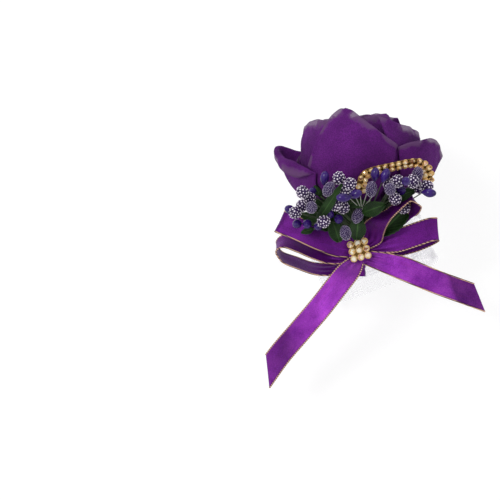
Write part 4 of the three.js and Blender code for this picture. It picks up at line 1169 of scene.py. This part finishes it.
def ribbonPlace(name):
    stations, cut = ribbons[name], ribbonCuts.get(name, 0)
    spots = [facePoint(*station[:3]) for station in stations]
    leans, turns, widths = ([station[k] for station in stations] for k in (3, 4, 5))

    def place(across, along, grow=1.0):
        share = along * (1 - cut * across)
        lean = radians(between(leans, share))
        turn = radians(between(turns, share))
        left = between(widths, share)
        reach = (across - 0.5) * ribbon["width"] * left * grow
        way = Vector((cos(lean) * cos(turn), sin(lean) * cos(turn),
                      sin(turn)))
        spot = alongCurve(spots, share)
        ahead = alongCurve(spots, min(share + 0.01, 1)) - alongCurve(spots, max(share - 0.01, 0))
        out = way.cross(ahead).normalized()
        gather = (1 - left) * sin(across * 19) * ribbon["gather"]
        drift = noiseAt(across * 1.4, along * 9, len(stations) + leans[0])
        return spot + way * reach + out * (ribbon["wave"] * drift + gather)
    return place


def makeBow():
    for name in ribbons:
        place = ribbonPlace(name)
        steps = ribbon["steps"]
        lines = [[place(side, k / steps, 1.02) for k in range(steps + 1)] for side in (0, 1)]
        edges = addPiece(name + "_edges", tubes(lines, ribbon["edge"]), [threadEdge])
        addSheet(name + "_satin", place, (18, steps), [litTailSatins.get(name, satin)],
                 [name], ribbon["cloth"],
                 stockWidth=ribbon["width"])


makeBow()
print("bow made")

# Wristlet: one gathered sheer band with its elastic threads
wrist = {"halfWidth": 26, "halfHeight": 18, "flat": 12, "elastic": 1.1, "band": 13,
         "frill": 6.4, "waves": 62, "wave": 1.2, "threads": 9, "thread": 0.3,
         "threadSteps": 360, "bandSteps": (16, 620)}


def wristOutline(grow, share):  # four like quarters, each a flat run and an arc
    flat = wrist["flat"]
    half, high = wrist["halfWidth"] - flat + grow, wrist["halfHeight"] + grow
    arc = pi / 2 * (half + high) / 2
    side, run = divmod((share % 1) * 4 * (flat + arc), flat + arc)
    if side % 2:
        run = flat + arc - run
    angle = max(run - flat, 0) / arc * pi / 2
    x, z = min(run, flat) + half * sin(angle), high * cos(angle)
    return x if side < 2 else -x, z if side in (0, 3) else -z


def makeWristlet():
    reach = wrist["band"] / 2 + gap + wrist["frill"]

    def place(across, along):
        run = (2 * across - 1) * reach
        free = smoothstep(abs(run), wrist["band"] / 2 - 1, reach)
        circuit = along * 2 * pi
        drift = noiseAt(sin(circuit) * 9, cos(circuit) * 9, run * 0.12)
        turns = circuit * wrist["waves"] + 2.2 * drift
        wave = sin(turns) * (0.35 + wrist["wave"] * free)
        grow = wrist["elastic"] / 2 + wave + 0.5 * drift * free
        x, z = wristOutline(grow, along)
        return Vector((x, run + 0.5 * free * cos(turns) * (1 if run > 0 else -1), z))

    lines = []
    for k in range(wrist["threads"]):
        run = (k / (wrist["threads"] - 1) - 0.5) * (wrist["band"] - 1.6)
        line = []
        for step in range(wrist["threadSteps"]):
            grow = wrist["elastic"] / 2 + 0.1 * sin(step * 1.7 + k)
            x, z = wristOutline(grow, step / wrist["threadSteps"])
            line.append(Vector((x, run, z)))
        lines.append(line)
    threads = addPiece("elastic_threads", tubes(lines, wrist["thread"], closed=True),
                       [elasticThread], ["wristlet_elastic"], toMetres)
    made = shapedGrid(place, *wrist["bandSteps"])
    bmesh.ops.remove_doubles(made, verts=made.verts, dist=0.002)
    piece = addPiece("sheer_band", made, [sheer], ["wristlet_frill_front", "wristlet_frill_back"],
                     toMetres)
    around = max(lineLength([place(u, k / 900) for k in range(901)]) for u in (0, 0.5, 1))
    wide = sheetSizes(lambda u, v: place(u, v * 0.03))[0]


makeWristlet()
print("wristlet made")
